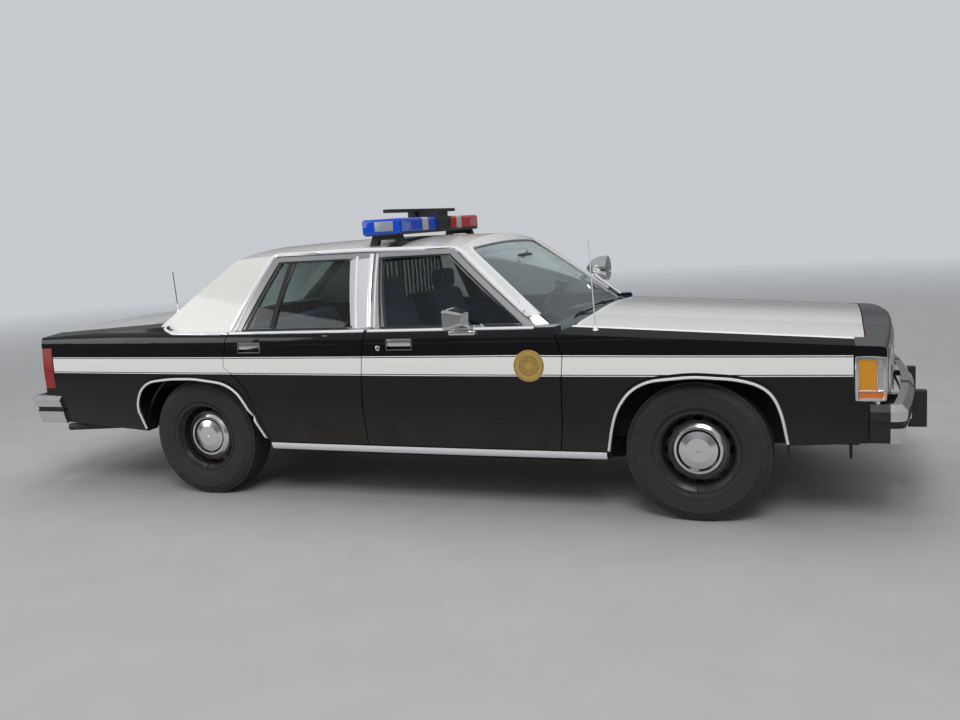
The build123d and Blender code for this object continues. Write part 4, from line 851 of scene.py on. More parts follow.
@dataclass(frozen=True)
class Lens(Finish):
    """Ribbed lamp lens over a bright reflector."""

    pitch: float = 190.0
    direction: str = "Y"
    clear: float = 0.75
    coat: float = 0.6

    def paint(self, board: Board) -> None:
        """Sets up the shader."""
        ribs = board.wave(self.pitch, self.direction)
        deep = tuple(channel * 0.55 for channel in self.colour)
        board.set(Base_Color=board.mix(ribs, deep, self.colour), Transmission_Weight=self.clear,
                  Roughness=self.roughness, Coat_Weight=self.coat, Coat_Roughness=0.03)
        board.bump(ribs, 0.4, 0.0008)


@dataclass(frozen=True)
class CornerLens(Lens):
    """The corner lamp: amber beside the fender and along its foot, bright towards the nose."""

    edge: float = 3.703
    foot: float = 0.667
    amber: Colour = (0.85, 0.36, 0.01)
    foot_amber: Colour = (0.95, 0.22, 0.01)
    reflector: Colour = (0.78, 0.78, 0.77)

    def paint(self, board: Board) -> None:
        """Sets up the shader."""
        super().paint(board)
        x, _, z = board.axes()
        bright = board.product(board.above(x, self.edge - MIDDLE), board.above(z, self.foot))
        orange = board.mix(board.below(z, self.foot), self.amber, self.foot_amber)
        board.set(Base_Color=board.mix(bright, orange, self.reflector),
                  Transmission_Weight=board.ramp(bright, 0.0, 1.0, self.clear, 0.0), Metallic=bright)


@dataclass(frozen=True)
class SeatCloth(Finish):
    """Woven seat cloth with a soft sheen."""

    def paint(self, board: Board) -> None:
        """Sets up the shader."""
        dark = tuple(channel * 0.6 for channel in self.colour)
        weave = board.product(board.wave(420.0, "X"), board.wave(420.0, "Y"))
        worn = board.noise(5.0, 4.0)
        board.set(Base_Color=board.mix(worn, dark, self.colour), Roughness=self.roughness, Sheen_Weight=0.35)
        board.bump(board.math("ADD", weave, board.product(board.noise(160.0, 3.0), 0.5)), 0.4, 0.0008)


@dataclass(frozen=True)
class SealDisc(Finish):
    """A plain gold disc with raised rings and rays, and no words."""

    station: float = 2.100
    height: float = 0.792
    inner_ring: Point = (0.048, 0.050)
    outer_ring: Point = (0.0725, 0.0745)
    ray_radii: Point = (0.020, 0.046)
    rays: float = 16.0
    shade: Colour = (0.05, 0.035, 0.015)

    def paint(self, board: Board) -> None:
        """Sets up the shader."""
        ahead, rise, radius = board.away_from(self.station, self.height)
        angle = board.math("ARCTAN2", rise, ahead)
        rays = board.above(board.math("SINE", board.math("MULTIPLY", angle, self.rays)), 0.0)
        dark = board.larger(board.band(radius, *self.inner_ring), board.band(radius, *self.outer_ring),
                            board.product(board.band(radius, *self.ray_radii), rays, 0.45))
        board.set(Base_Color=board.mix(dark, self.colour, self.shade), Metallic=0.5, Roughness=self.roughness,
                  Coat_Weight=0.5)
        board.bump(dark, 0.2, 0.0005)


GLOSS_BLACK = {"colour": (0.004, 0.004, 0.0045), "roughness": 0.10, "coat": 0.3}
STEEL_BLACK = {"colour": (0.010, 0.010, 0.011), "roughness": 0.32}
TYRE_BLACK = {"colour": (0.008, 0.008, 0.008), "roughness": 0.75}
LENS_RIBS = {"pitch": 60.0, "direction": "Z"}
BRIGHT: Colour = (0.80, 0.80, 0.79)


class Finishes:
    """Every finish of the car, made once and handed out by name."""

    ALL: tuple[Finish, ...] = (
        BodyPaint("side_paint", **GLOSS_BLACK),
        BodyPaint("fender_paint", **GLOSS_BLACK, crown_half=0.785),
        BodyPaint("door_paint", **GLOSS_BLACK, upper=(0.36, 0.36, 0.365), upper_metal=0.7),
        BodyPaint("black_paint", **GLOSS_BLACK, striped=False),
        HeaderPaint("header_paint", **GLOSS_BLACK, striped=False),
        Finish("white_paint", (0.70, 0.70, 0.67), roughness=0.22, coat=0.8, tone=0.02, relief=0.0),
        # painted light: the lid wears the hood's white paint, set brighter to make up for the less light that
        # falls on it
        LidPaint("lid_paint", (0.80, 0.80, 0.79), roughness=0.22, coat=0.6, tone=0.04, grain=1200,
                 relief=0.00005),
        Finish("roof_paint", (0.60, 0.59, 0.56), roughness=0.25, coat=0.7, tone=0.02, relief=0.0),
        Finish("frame_paint", (0.45, 0.44, 0.43), roughness=0.32, coat=0.4, tone=0.08),
        Finish("post_paint", (0.50, 0.50, 0.53), roughness=0.40, coat=0.3, tone=0.05),
        Chrome("chrome", BRIGHT, roughness=0.07),
        Finish("bright_trim", (0.84, 0.85, 0.87), roughness=0.16, metallic=0.35, coat=0.5, tone=0.05),
        BumperChrome("front_bumper_chrome", BRIGHT, roughness=0.09, guard=0.35, end_rear=3.757),
        BumperChrome("rear_bumper_chrome", BRIGHT, roughness=0.09),
        WheelSteel("front_wheel_steel", **STEEL_BLACK, axle=WHEELBASE),
        WheelSteel("rear_wheel_steel", **STEEL_BLACK, cap_width=0.8245),
        Rubber("front_rubber", **TYRE_BLACK, axle=WHEELBASE),
        Rubber("rear_rubber", **TYRE_BLACK),
        Glass("window_glass", (0.58, 0.63, 0.60), roughness=0.01),
        Glass("screen_glass", (0.52, 0.62, 0.62), roughness=0.01),
        Lens("headlamp_lens", (0.92, 0.93, 0.93), roughness=0.05, pitch=70.0),
        CornerLens("amber_lens", (0.90, 0.36, 0.02), roughness=0.12, clear=0.35, **LENS_RIBS),
        Lens("red_lens", (0.50, 0.010, 0.012), roughness=0.12, clear=0.35, **LENS_RIBS),
        Lens("clear_lens", (0.85, 0.86, 0.86), roughness=0.08, clear=0.6, **LENS_RIBS),
        Lens("beacon_blue", (0.004, 0.13, 0.95), roughness=0.06, clear=0.5, pitch=30.0, coat=0.25),
        Lens("beacon_red", (0.78, 0.004, 0.010), roughness=0.06, clear=0.5, pitch=30.0, coat=0.25),
        Lens("beacon_clear", (0.86, 0.85, 0.80), roughness=0.08, clear=0.5, pitch=30.0),
        Finish("black_plastic", (0.020, 0.020, 0.021), roughness=0.5, relief=0.0006),
        Finish("rubber_seal", (0.012, 0.012, 0.012), roughness=0.7),
        Finish("dash_plastic", (0.030, 0.034, 0.045), roughness=0.55, relief=0.0008),
        Finish("trim_plastic", (0.035, 0.065, 0.13), roughness=0.5, relief=0.0008),
        FloorFinish("carpet", (0.025, 0.035, 0.06), roughness=0.95, relief=0.003),
        Finish("chassis_black", (0.016, 0.015, 0.014), roughness=0.7, tone=0.4, relief=0.0008),
        Finish("engine_iron", (0.10, 0.10, 0.10), roughness=0.6, metallic=0.6, tone=0.4, relief=0.001),
        Finish("exhaust_steel", (0.085, 0.075, 0.068), roughness=0.55, metallic=0.8, tone=0.4),
        Finish("bare_steel", (0.55, 0.55, 0.55), roughness=0.3, metallic=1.0),
        Finish("mesh_steel", (0.30, 0.31, 0.32), roughness=0.5, metallic=0.3),
        Finish("mirror_glass", (0.80, 0.82, 0.84), roughness=0.02, metallic=1.0, tone=0.02, relief=0.0),
        Finish("plate_metal", (0.70, 0.70, 0.68), roughness=0.4, tone=0.05),
        SealDisc("seal_gold", (0.55, 0.36, 0.10), roughness=0.3),
        SeatCloth("seat_cloth", (0.06, 0.12, 0.27), roughness=0.85),
    )

    def __init__(self) -> None:
        """Keeps the finishes by name and makes each when it is first used."""
        self.known = {finish.name: finish for finish in self.ALL}
        self.made: dict[str, bpy.types.Material] = {}

    def get(self, name: str) -> bpy.types.Material:
        """The material of that name."""
        if name not in self.made:
            self.made[name] = self.known[name].make()
        return self.made[name]

    def put(self, piece: bpy.types.Object, name: str) -> bpy.types.Object:
        """Gives a piece one finish all over and returns it."""
        piece.data.materials.clear()
        piece.data.materials.append(self.get(name))
        return piece


class Dresser:
    """What every sub-assembly shares: its finishes and the way a piece joins the car."""

    def __init__(self, finishes: Finishes) -> None:
        """Keeps the finishes."""
        self.finishes = finishes

    def fit(self, piece: bpy.types.Object, body: str, finish: str, slot: str) -> bpy.types.Object:
        """Finishes a piece and hangs it on a body.

        Args:
            piece: the finished mesh.
            body: the body it moves with.
            finish: the name of its finish.
            slot: the name of a material slot; it is not used.

        Returns:
            The same piece.
        """
        self.finishes.put(piece, finish)
        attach(piece, body)
        log.info("%s on %s in %s", piece.name, body, finish)
        return piece

    def plate(self, piece: bpy.types.Object, body: str = "body") -> None:
        """Hangs a chromed piece on a body."""
        self.fit(piece, body, "chrome", "chrome")


PART_FINISHES = {
    # the beginning of a part's name, and its finish
    "body_side": "side_paint", "fender_left": "fender_paint", "fender_right": "fender_paint",
    "front_door_left": "door_paint", "front_door_right": "door_paint",
    "rear_door_left": "door_paint", "rear_door_right": "door_paint",
    "roof_panel": "roof_paint", "hood": "white_paint", "trunk_lid": "lid_paint",
    "parcel_shelf": "white_paint", "header_panel": "header_paint", "rear_panel": "black_paint",
    "front_bumper": "front_bumper_chrome", "rear_bumper": "rear_bumper_chrome",
    "wheel_front": "front_wheel_steel", "wheel_rear": "rear_wheel_steel",
    "tyre_front": "front_rubber", "tyre_rear": "rear_rubber",
    "front_door_glass": "window_glass", "rear_door_glass": "window_glass",
    "windshield": "screen_glass", "rear_window": "screen_glass",
    "headlamps": "headlamp_lens", "corner_lamps": "amber_lens", "tail_lamps": "red_lens",
    "lightbar_base": "black_plastic", "lightbar_lenses": "beacon_blue", "cowl": "black_plastic",
    "mirror": "chrome", "spotlight": "chrome", "fender_aerial": "bright_trim",
    "dashboard": "dash_plastic", "steering_wheel": "black_plastic", "partition": "black_plastic",
    "seats": "seat_cloth", "floor_pan": "carpet", "front_structure": "chassis_black",
    "chassis_frame": "chassis_black", "rear_axle": "chassis_black", "knuckle": "chassis_black",
    "engine": "engine_iron", "fuel_tank": "chassis_black", "exhaust": "exhaust_steel",
}


class PackedParts(Dresser):
    """Finishes for the parts that are shown as they were packed."""

    def build(self) -> None:
        """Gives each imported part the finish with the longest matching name."""
        for node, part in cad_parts.items():
            match = max((key for key in PART_FINISHES if node.startswith(key)), key=len)
            self.finishes.put(part, PART_FINISHES[match])
        log.info("finished %d packed parts", len(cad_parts))


@dataclass(frozen=True)
class Wheel:
    """One corner of the car: its part-name ending, its place and its finish."""

    name: str
    station: float
    width: float
    finish: str

    @property
    def body(self) -> str:
        """The body that turns with this wheel."""
        end, hand = self.name.split("_")
        return f"{end}_wheel_{hand}"


class Tyres(Dresser):
    """Tyres with moulded sidewalls and a blocked road tread."""

    CORNERS: tuple[Wheel, ...] = (
        Wheel("front_right", WHEELBASE, -0.790, "front_rubber"),
        Wheel("front_left", WHEELBASE, 0.790, "front_rubber"),
        Wheel("rear_right", 0.0, -0.7875, "rear_rubber"),
        Wheel("rear_left", 0.0, 0.7875, "rear_rubber"),
    )
    SIDEWALL: tuple[Point, ...] = (
        # radius and distance from the tyre's middle, from the bead to the shoulder
        (0.1965, 0.0780), (0.2050, 0.0935), (0.2200, 0.1000), (0.2240, 0.1040), (0.2290, 0.1035),
        (0.2500, 0.1090), (0.2720, 0.1122), (0.2950, 0.1108), (0.2985, 0.1120), (0.3020, 0.1098),
        (0.3180, 0.1055), (0.3290, 0.0985), (0.3370, 0.0905), (0.3400, 0.0860),
    )
    RIB_EDGES: tuple[float, ...] = (0.0860, 0.0590, 0.0520, 0.0220, 0.0150)
    FLOOR: float = 0.3400
    BLOCK_HEIGHT: float = 0.0076
    BLOCK_TAPER: float = 0.0016
    PITCHES: int = 72
    VALVE: tuple[Point, ...] = (
        # radius and distance along the stem, from its tip to its foot
        (0.0, 0.022), (0.0035, 0.022), (0.004, 0.012), (0.006, 0.008), (0.006, -0.004), (0.0, -0.004),
    )
    VALVE_OUT: float = 0.088
    VALVE_DOWN: float = 0.172

    def profile(self) -> list[Point]:
        """The closed section from one bead over the tread to the other."""
        outer = list(self.SIDEWALL) + [(self.FLOOR, edge) for edge in self.RIB_EDGES[1:]]
        inner = [(radius, -distance) for radius, distance in reversed(outer)]
        return outer + inner

    def one(self, wheel: Wheel) -> bpy.types.Object:
        """Makes one tyre.

        Args:
            wheel: the corner that it sits at.

        Returns:
            The tyre, with its tread blocks raised from the groove floor.
        """
        centre = place(wheel.station, wheel.width, AXLE_HEIGHT)
        tyre = turned(f"road_tyre_{wheel.name}", self.profile(), centre, Vector((0, 1, 0)), self.PITCHES,
                      closed=True)
        ribs = [(self.RIB_EDGES[1], self.RIB_EDGES[0]), (self.RIB_EDGES[3], self.RIB_EDGES[2]),
                (-1.0, self.RIB_EDGES[4])]

        def on_rib(middle: Vector, normal: Vector) -> bool:
            """Whether a face is the base of a tread block."""
            radius = math.hypot(middle.x - centre.x, middle.z - centre.z)
            across = abs(middle.y - centre.y)
            return radius > self.FLOOR - 0.002 and any(low < across < high for low, high in ribs)

        with editing(tyre):
            pick_faces(tyre, on_rib)
            bpy.ops.mesh.inset(thickness=self.BLOCK_TAPER, depth=self.BLOCK_HEIGHT, use_individual=True)
        return smooth(tyre, 28)

    def build(self) -> None:
        """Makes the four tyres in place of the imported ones."""
        for wheel in self.CORNERS:
            tyre = self.fit(self.one(wheel), wheel.body, wheel.finish, "tyre_rubber")
            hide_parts(f"tyre_{wheel.name}")
            width = wheel.width + math.copysign(self.VALVE_OUT, wheel.width)
            foot = place(wheel.station, width, AXLE_HEIGHT - self.VALVE_DOWN)
            stem = turned(f"valve_{wheel.name}", self.VALVE, foot, Vector((0, wheel.width, -0.35)), 12)
            self.fit(stem, wheel.body, "rubber_seal", "black_plastic")


@dataclass(frozen=True)
class Moulding:
    """One strip along the side: its route, its section, and the parts that it lies on."""

    name: str
    parts: tuple[str, ...]
    route: Sequence[Point]
    section: Sequence[Point]
    door: str = ""
    finish: str = "bright_trim"
    slot: str = "chrome"
    closed: bool = False


class SideTrim(Dresser):
    """Bright mouldings along the side: belt, drip rail, sill, wheel lips and window reveals."""

    # routes are pairs of station and height
    FRONT_LIP: tuple[Point, ...] = (
        (2.474, 0.350), (2.500, 0.470), (2.535, 0.575), (2.601, 0.666), (2.690, 0.713), (2.900, 0.733),
        (3.100, 0.720), (3.205, 0.692), (3.265, 0.640), (3.299, 0.552), (3.322, 0.405),
    )
    REAR_LIP: tuple[Point, ...] = (
        (-0.407, 0.400), (-0.430, 0.535), (-0.385, 0.641), (-0.310, 0.697), (-0.150, 0.716), (0.030, 0.719),
        (0.241, 0.694), (0.327, 0.646), (0.377, 0.568), (0.428, 0.450), (0.475, 0.345),
    )
    DRIP: tuple[Point, ...] = (
        (2.122, 0.993), (1.648, 1.383), (1.373, 1.397), (1.037, 1.404), (0.466, 1.404), (0.268, 0.993),
    )
    PILLAR_FOOT: tuple[Point, ...] = (
        (-0.208, 1.020), (-0.176, 0.998), (-0.123, 0.981), (0.120, 0.978), (0.284, 0.977),
    )
    FRONT_REVEAL: tuple[Point, ...] = ((1.241, 0.989), (1.173, 1.357), (1.592, 1.357), (2.046, 0.989))
    REAR_REVEAL: tuple[Point, ...] = ((0.343, 0.989), (0.515, 1.357), (0.995, 1.357), (1.064, 0.989))
    REAR_POST: tuple[Point, ...] = ((1.168, 0.992), (1.119, 1.378))
    NARROW = half_round(0.017, 0.006)
    SEAL = half_round(0.011, 0.003)
    RUBBER = {"finish": "rubber_seal", "slot": "black_plastic"}
    MOULDINGS: tuple[Moulding, ...] = (
        Moulding("drip_rail", ("roof_panel", "body_side"), rounded(DRIP, 0.04, 6), half_round(0.026, 0.009)),
        Moulding("pillar_foot", ("roof_panel", "body_side"), rounded(PILLAR_FOOT, 0.03), NARROW),
        Moulding("front_belt", ("front_door",), ((1.192, 0.979), (2.125, 0.979)), NARROW, "front_door"),
        Moulding("rear_belt", ("rear_door",), ((0.294, 0.979), (1.170, 0.979)), NARROW, "rear_door"),
        Moulding("sill_moulding", ("body_side",), ((0.4955, 0.321), (2.462, 0.321)),
                 half_round(0.040, 0.006)),
        Moulding("front_reveal", ("front_door",), FRONT_REVEAL, SEAL, "front_door", closed=True, **RUBBER),
        Moulding("rear_reveal", ("rear_door",), REAR_REVEAL, SEAL, "rear_door", closed=True, **RUBBER),
        Moulding("front_post", ("front_door",), ((1.204, 0.992), (1.153, 1.378)), half_round(0.009, 0.003),
                 "front_door"),
        Moulding("rear_post", ("rear_door",), REAR_POST, half_round(0.024, 0.006), "rear_door"),
        Moulding("window_bar", ("rear_door",), ((0.539, 0.994), (0.594, 1.350)), half_round(0.030, 0.004),
                 "rear_door", **RUBBER),
    )
    PILLAR_BASE: tuple[Place, ...] = (
        # station, half-width and height of its corners: screen side top and foot, door side foot and top
        (2.010, 0.804, 1.125), (2.176, 0.842, 0.984), (2.108, 0.866, 0.984), (2.028, 0.842, 1.085),
    )
    POST_COVER: tuple[tuple[str, Point, Point, float, float, str, str], ...] = (
        # name, foot and head of its middle line, width, lift, finish, slot
        ("window_post", (1.078, 0.988), (1.006, 1.356), 0.036, 0.0016, "frame_paint", "white_paint"),
        ("post_panel", (1.126, 0.988), (1.074, 1.356), 0.074, 0.0012, "post_paint", "white_paint"),
        ("post_edge", (1.094, 0.988), (1.030, 1.370), 0.013, 0.0050, "bright_trim", "chrome"),
    )
    COVER_DEPTH: float = 0.012
    POST_INSET: float = 0.024
    LIP_LAYERS: tuple[tuple[str, float, list[Point], str], ...] = (
        # name, how far outside the route it lies, section, finish
        ("lip", 0.0, half_round(0.014, 0.007), "bright_trim"),
        ("flange", 0.011, half_round(0.022, 0.0015), "black_paint"),
    )
    ARCH_CENTRE: float = 0.36
    SKIN_OUTSIDE: float = 0.035

    def build(self) -> None:
        """Lays every moulding on both sides."""
        for hand in Hand:
            side = f"body_side_{hand.word}"
            self.post_cover(hand, f"rear_door_{hand.word}")
            self.wheel_lip(hand, "front", Skin(f"fender_{hand.word}", side), WHEELBASE, self.FRONT_LIP)
            self.wheel_lip(hand, "rear", Skin(side, f"rear_door_{hand.word}"), 0.0, self.REAR_LIP)
            self.pillar_base(hand)
            for row in self.MOULDINGS:
                skin = Skin(*(node if node == "roof_panel" else f"{node}_{hand.word}" for node in row.parts))
                name = f"{row.name}_{hand.word}"
                piece = skin.side_strip(name, hand, row.route, row.section, row.closed)
                self.fit(piece, f"{row.door}_{hand.word}" if row.door else "body", row.finish, row.slot)

    def pillar_base(self, hand: Hand) -> None:
        """Carries the windscreen pillar down to the belt."""
        deselect()
        bpy.ops.mesh.primitive_grid_add(x_subdivisions=6, y_subdivisions=4, size=1, location=(0, 0, 0))
        piece = settle(bpy.context.active_object, f"pillar_base_{hand.word}")
        corners = [place(station, hand.value * width, height) for station, width, height in self.PILLAR_BASE]
        for vertex in piece.data.vertices:
            along, over = vertex.co.x + 0.5, vertex.co.y + 0.5
            screen_side = corners[0].lerp(corners[1], along)
            door_side = corners[3].lerp(corners[2], along)
            vertex.co = screen_side.lerp(door_side, over)
        modify(piece, "SOLIDIFY", thickness=0.012, offset=0)
        self.fit(smooth(piece), "body", "bright_trim", "white_paint")

    def wheel_lip(self, hand: Hand, end: str, skin: Skin, axle: float, route: Sequence[Point]) -> None:
        """Lays the bright lip on the edge of a wheel arch, with the black flange behind it.

        Args:
            hand: the side of the car.
            end: front or rear.
            skin: the parts round the arch.
            axle: the axle's station.
            route: stations and heights of the lip.
        """
        for name, grow, section, finish in self.LIP_LAYERS:
            points = []
            for station, height in fine(rounded(route, 0.05)):
                away = Vector((station - axle, 0, height - self.ARCH_CENTRE)).normalized()
                outside = away * self.SKIN_OUTSIDE
                eye = place(station + outside.x, hand.value * CLEAR_OF_SIDE, height + outside.z)
                found = skin.look(eye, hand.inward)
                if found is None:
                    continue
                spot = place(station + away.x * grow, 0, height + away.z * grow)
                points.append(Vector((spot.x, found[0].y, spot.z)))
            spots = row_of_spots(points, [-hand.inward] * len(points))
            self.fit(strip(f"{end}_wheel_{name}_{hand.word}", spots, section), "body", finish, "chrome")

    def post_cover(self, hand: Hand, door: str) -> None:
        """Covers the front post of a rear door, which is wider than its window leaves it.

        Args:
            hand: the side of the car.
            door: the door.
        """
        skin = Skin(door)
        steps = 8
        post_foot, post_head = (Vector(point) for point in self.REAR_POST)
        for name, low, high, width, lift, finish, slot in self.POST_COVER:
            points, outs = [], []
            for step in range(steps + 1):
                share = step / steps
                station, height = Vector(low).lerp(Vector(high), share)
                post = post_foot.lerp(post_head, share).x - self.POST_INSET
                at, normal = skin.from_side(hand, post, height)
                points.append(Vector((place(station, 0, 0).x, at.y, at.z)))
                outs.append(Vector((0, normal.y, normal.z)).normalized())
            half, depth = width / 2, -self.COVER_DEPTH
            section = [(-half, depth), (-half, lift), (half, lift), (half, depth)]
            piece = strip(f"{name}_{hand.word}", row_of_spots(points, outs), section)
            self.fit(piece, door, finish, slot)


class DoorFittings(Dresser):
    """Pull handles, lock barrels, mirrors and the gold disc on the front doors."""

    HANDLES: tuple[tuple[str, Point, Point | None], ...] = (
        # door, station and height of the handle's middle and of the lock
        ("front_door", (1.387, 0.908), (1.262, 0.890)),
        ("rear_door", (0.441, 0.899), None),
    )
    HALF_LONG: float = 0.0735
    HALF_HIGH: float = 0.0275
    PADDLE_IN: float = 0.006
    PADDLE_UP: float = 0.018
    PADDLE_DEPTHS: Point = (0.0055, -0.002)
    LOCK: tuple[Point, ...] = (
        # radius and distance along the barrel, from the keyhole to the skin
        (0.0, 0.0035), (0.0035, 0.0035), (0.004, 0.0022), (0.009, 0.0026), (0.011, 0.0045), (0.0135, 0.004),
        (0.0145, -0.001), (0.0, -0.001),
    )
    MIRROR: Place = (1.6945, 1.006, 1.041)
    MIRROR_HALF: Point = (0.0775, 0.0445)
    MIRROR_THICK: float = 0.0045
    MIRROR_ARM: tuple[Place, ...] = (
        (1.738, 0.985, 1.028), (1.775, 0.975, 1.005), (1.800, 0.945, 0.975), (1.802, 0.925, 0.962),
    )
    MIRROR_FOOT: tuple[Point, Point] = ((1.672, 0.950), (1.822, 0.974))
    FOOT_STANDS_AT: Point = (1.745, 0.960)
    FOOT_DEPTHS: Point = (0.010, -0.016)
    DISC: Point = (2.100, 0.792)
    DISC_RADIUS: float = 0.080

    def build(self) -> None:
        """Fits the four doors."""
        for hand in Hand:
            for door, middle, lock in self.HANDLES:
                body = f"{door}_{hand.word}"
                self.handle(body, hand, middle)
                if lock:
                    self.lock(body, hand, lock)
            self.disc(hand)
            self.mirror(hand)

    def mirror(self, hand: Hand) -> None:
        """Sets the glass into a door mirror's head and stands the head on its arm and foot."""
        door = f"front_door_{hand.word}"
        station, width, height = self.MIRROR
        wide, high = self.MIRROR_HALF
        near, far = hand.span(width - wide, width + wide)
        glass = block(f"mirror_glass_{hand.word}", place(station, near, height - high),
                      place(station + self.MIRROR_THICK, far, height + high), 0.0018)
        self.fit(glass, door, "mirror_glass", "chrome")
        spots = [place(along, hand.value * out, up) for along, out, up in self.MIRROR_ARM]
        arm = row_of_spots(spots, [Vector((0, 0, 1))] * len(spots))
        self.plate(strip(f"mirror_arm_{hand.word}", arm, tube_section(0.011)), door)
        (rear, low), (front, high) = self.MIRROR_FOOT
        at, _ = Skin(door).from_side(hand, *self.FOOT_STANDS_AT)
        near, far = hand.span(*(abs(at.y) - depth for depth in self.FOOT_DEPTHS))
        foot = block(f"mirror_foot_{hand.word}", place(rear, near, low), place(front, far, high), 0.007, 3)
        self.plate(foot, door)

    def handle(self, body: str, hand: Hand, middle: Point) -> None:
        """Makes the rim and the paddle of one pull handle.

        Args:
            body: the door.
            hand: the side of the car.
            middle: the handle's station and height.
        """
        skin = Skin(body)
        station, height = middle
        rear, front = station - self.HALF_LONG, station + self.HALF_LONG
        low, high = height - self.HALF_HIGH, height + self.HALF_HIGH
        corners = [(rear, low), (front, low), (front, high), (rear, high)]
        self.plate(skin.side_strip(f"handle_rim_{body}", hand, corners, half_round(0.008, 0.005), True), body)
        at, _ = skin.from_side(hand, rear, height)
        near, far = hand.span(*(abs(at.y) - depth for depth in self.PADDLE_DEPTHS))
        paddle = block(f"handle_paddle_{body}", place(rear + self.PADDLE_IN, near, low + self.PADDLE_UP),
                       place(front - self.PADDLE_IN, far, high - 0.001), 0.002, 3)
        self.plate(paddle, body)

    def lock(self, body: str, hand: Hand, middle: Point) -> None:
        """Makes a lock barrel with its key slot."""
        at, normal = Skin(body).from_side(hand, *middle)
        self.plate(turned(f"lock_{body}", self.LOCK, at, normal, 24), body)

    def disc(self, hand: Hand) -> None:
        """Lays the plain gold disc on a front door."""
        body = f"front_door_{hand.word}"
        at, normal = Skin(body).from_side(hand, *self.DISC)
        radius = self.DISC_RADIUS
        profile = [(0.0, 0.0012), (radius * 0.6, 0.0012), (radius - 0.002, 0.0010), (radius, 0.0002),
                   (radius, -0.001)]
        self.fit(turned(f"gold_disc_{hand.word}", profile, at, normal, 64), body, "seal_gold", "white_paint")


class ScreenTrim(Dresser):
    """Bright surrounds of the windscreen and rear window, and the wipers."""

    SCREENS: tuple[tuple[str, Point, Point, Point, Point], ...] = (
        # name, foot and head on the centre line, half-width and rise of the opening at its foot and head
        ("windscreen", (2.294, 0.946), (1.712, 1.378), (0.820, 0.012), (0.572, 0.758)),
        ("rear_screen", (-0.375, 1.020), (0.150, 1.395), (0.690, 0.036), (0.550, 0.640)),
    )
    MARGIN: float = 0.012
    WIPERS: tuple[tuple[str, float, float], ...] = (("right", 0.10, -0.50), ("left", 0.58, -0.02))
    BLADE_RISE: float = 0.085
    BLADE_PLACES: int = 9

    def build(self) -> None:
        """Makes both surrounds and the wipers."""
        skin = Skin("roof_panel", "windshield", "rear_window", "body_side_left", "body_side_right", "cowl",
                    "parcel_shelf", "hood")
        for name, foot, head, low, high in self.SCREENS:
            self.surround(skin, name, foot, head, low, high)
        self.wipers()

    def slope(self, foot: Point, head: Point) -> tuple[Vector, Vector, Vector]:
        """The foot, the way up a screen and its outward normal."""
        start = place(foot[0], 0, foot[1])
        rise = (place(head[0], 0, head[1]) - start).normalized()
        out = Vector((-rise.z, 0, rise.x)) * (1 if rise.x > 0 else -1)
        return start, rise, out

    def surround(self, skin: Skin, name: str, foot: Point, head: Point, low: Point, high: Point) -> None:
        """Lays a bright strip round one screen.

        Args:
            skin: the parts that it lies on.
            name: the screen's name.
            foot: station and height of the screen's foot.
            head: station and height of its head.
            low: half-width and rise of the opening's lower edge.
            high: half-width and rise of its upper edge.
        """
        start, rise, out = self.slope(foot, head)
        edge = self.MARGIN
        half = [(low[0] * 0.96, low[1] - edge * 0.3), (low[0] + edge, low[1] + 0.03),
                (high[0] + edge, high[1] - 0.02), (high[0] * 0.95, high[1] + edge)]
        mirrored = [(-across, up) for across, up in reversed(half)]
        corners = mirrored[-2:] + half + mirrored[:-2]
        points, outs = [], []
        for across, up in fine(corners, 0.06, closed=True):
            found = skin.look(start + rise * up + Vector((0, across, 0)) + out * 0.5, -out)
            if found is None:
                continue
            points.append(found[0])
            outs.append((found[1] + out * 2).normalized())
        trim = strip(f"{name}_surround", row_of_spots(points, outs, True), half_round(0.020, 0.005), True)
        self.fit(trim, "body", "bright_trim", "chrome")

    def wipers(self) -> None:
        """Makes two wiper arms with their blades at rest."""
        glass = Skin("windshield", "cowl", "body_side_left", "body_side_right")
        _, foot, head, _, _ = self.SCREENS[0]
        start, rise, out = self.slope(foot, head)

        def on_glass(across: float, up: float, lift: float) -> Vector:
            """A place over the screen."""
            found = glass.look(start + rise * up + Vector((0, across, 0)) + out * 0.4, -out)
            return found[0] + out * lift

        for name, pivot, tip in self.WIPERS:
            joint = on_glass(pivot, 0.035, 0.012)
            middle = on_glass((pivot + tip) / 2, 0.075, 0.022)
            end = on_glass((pivot + tip * 3) / 4, self.BLADE_RISE, 0.014)
            bend = (joint + middle) / 2 + out * 0.012
            spots = row_of_spots([joint, bend, middle, end], [out] * 4)
            arm = strip(f"wiper_arm_{name}", spots, half_round(0.010, 0.005))
            self.fit(arm, "body", "bare_steel", "black_plastic")
            line = []
            for i in range(self.BLADE_PLACES):
                share = i / (self.BLADE_PLACES - 1) * 2 - 0.75
                across = pivot * 0.55 + tip * 0.45 + (tip - pivot) * 0.40 * share
                line.append(on_glass(across, self.BLADE_RISE, 0.006))
            spots = row_of_spots(line, [out] * len(line))
            blade = strip(f"wiper_blade_{name}", spots, half_round(0.007, 0.010))
            self.fit(blade, "body", "rubber_seal", "black_plastic")


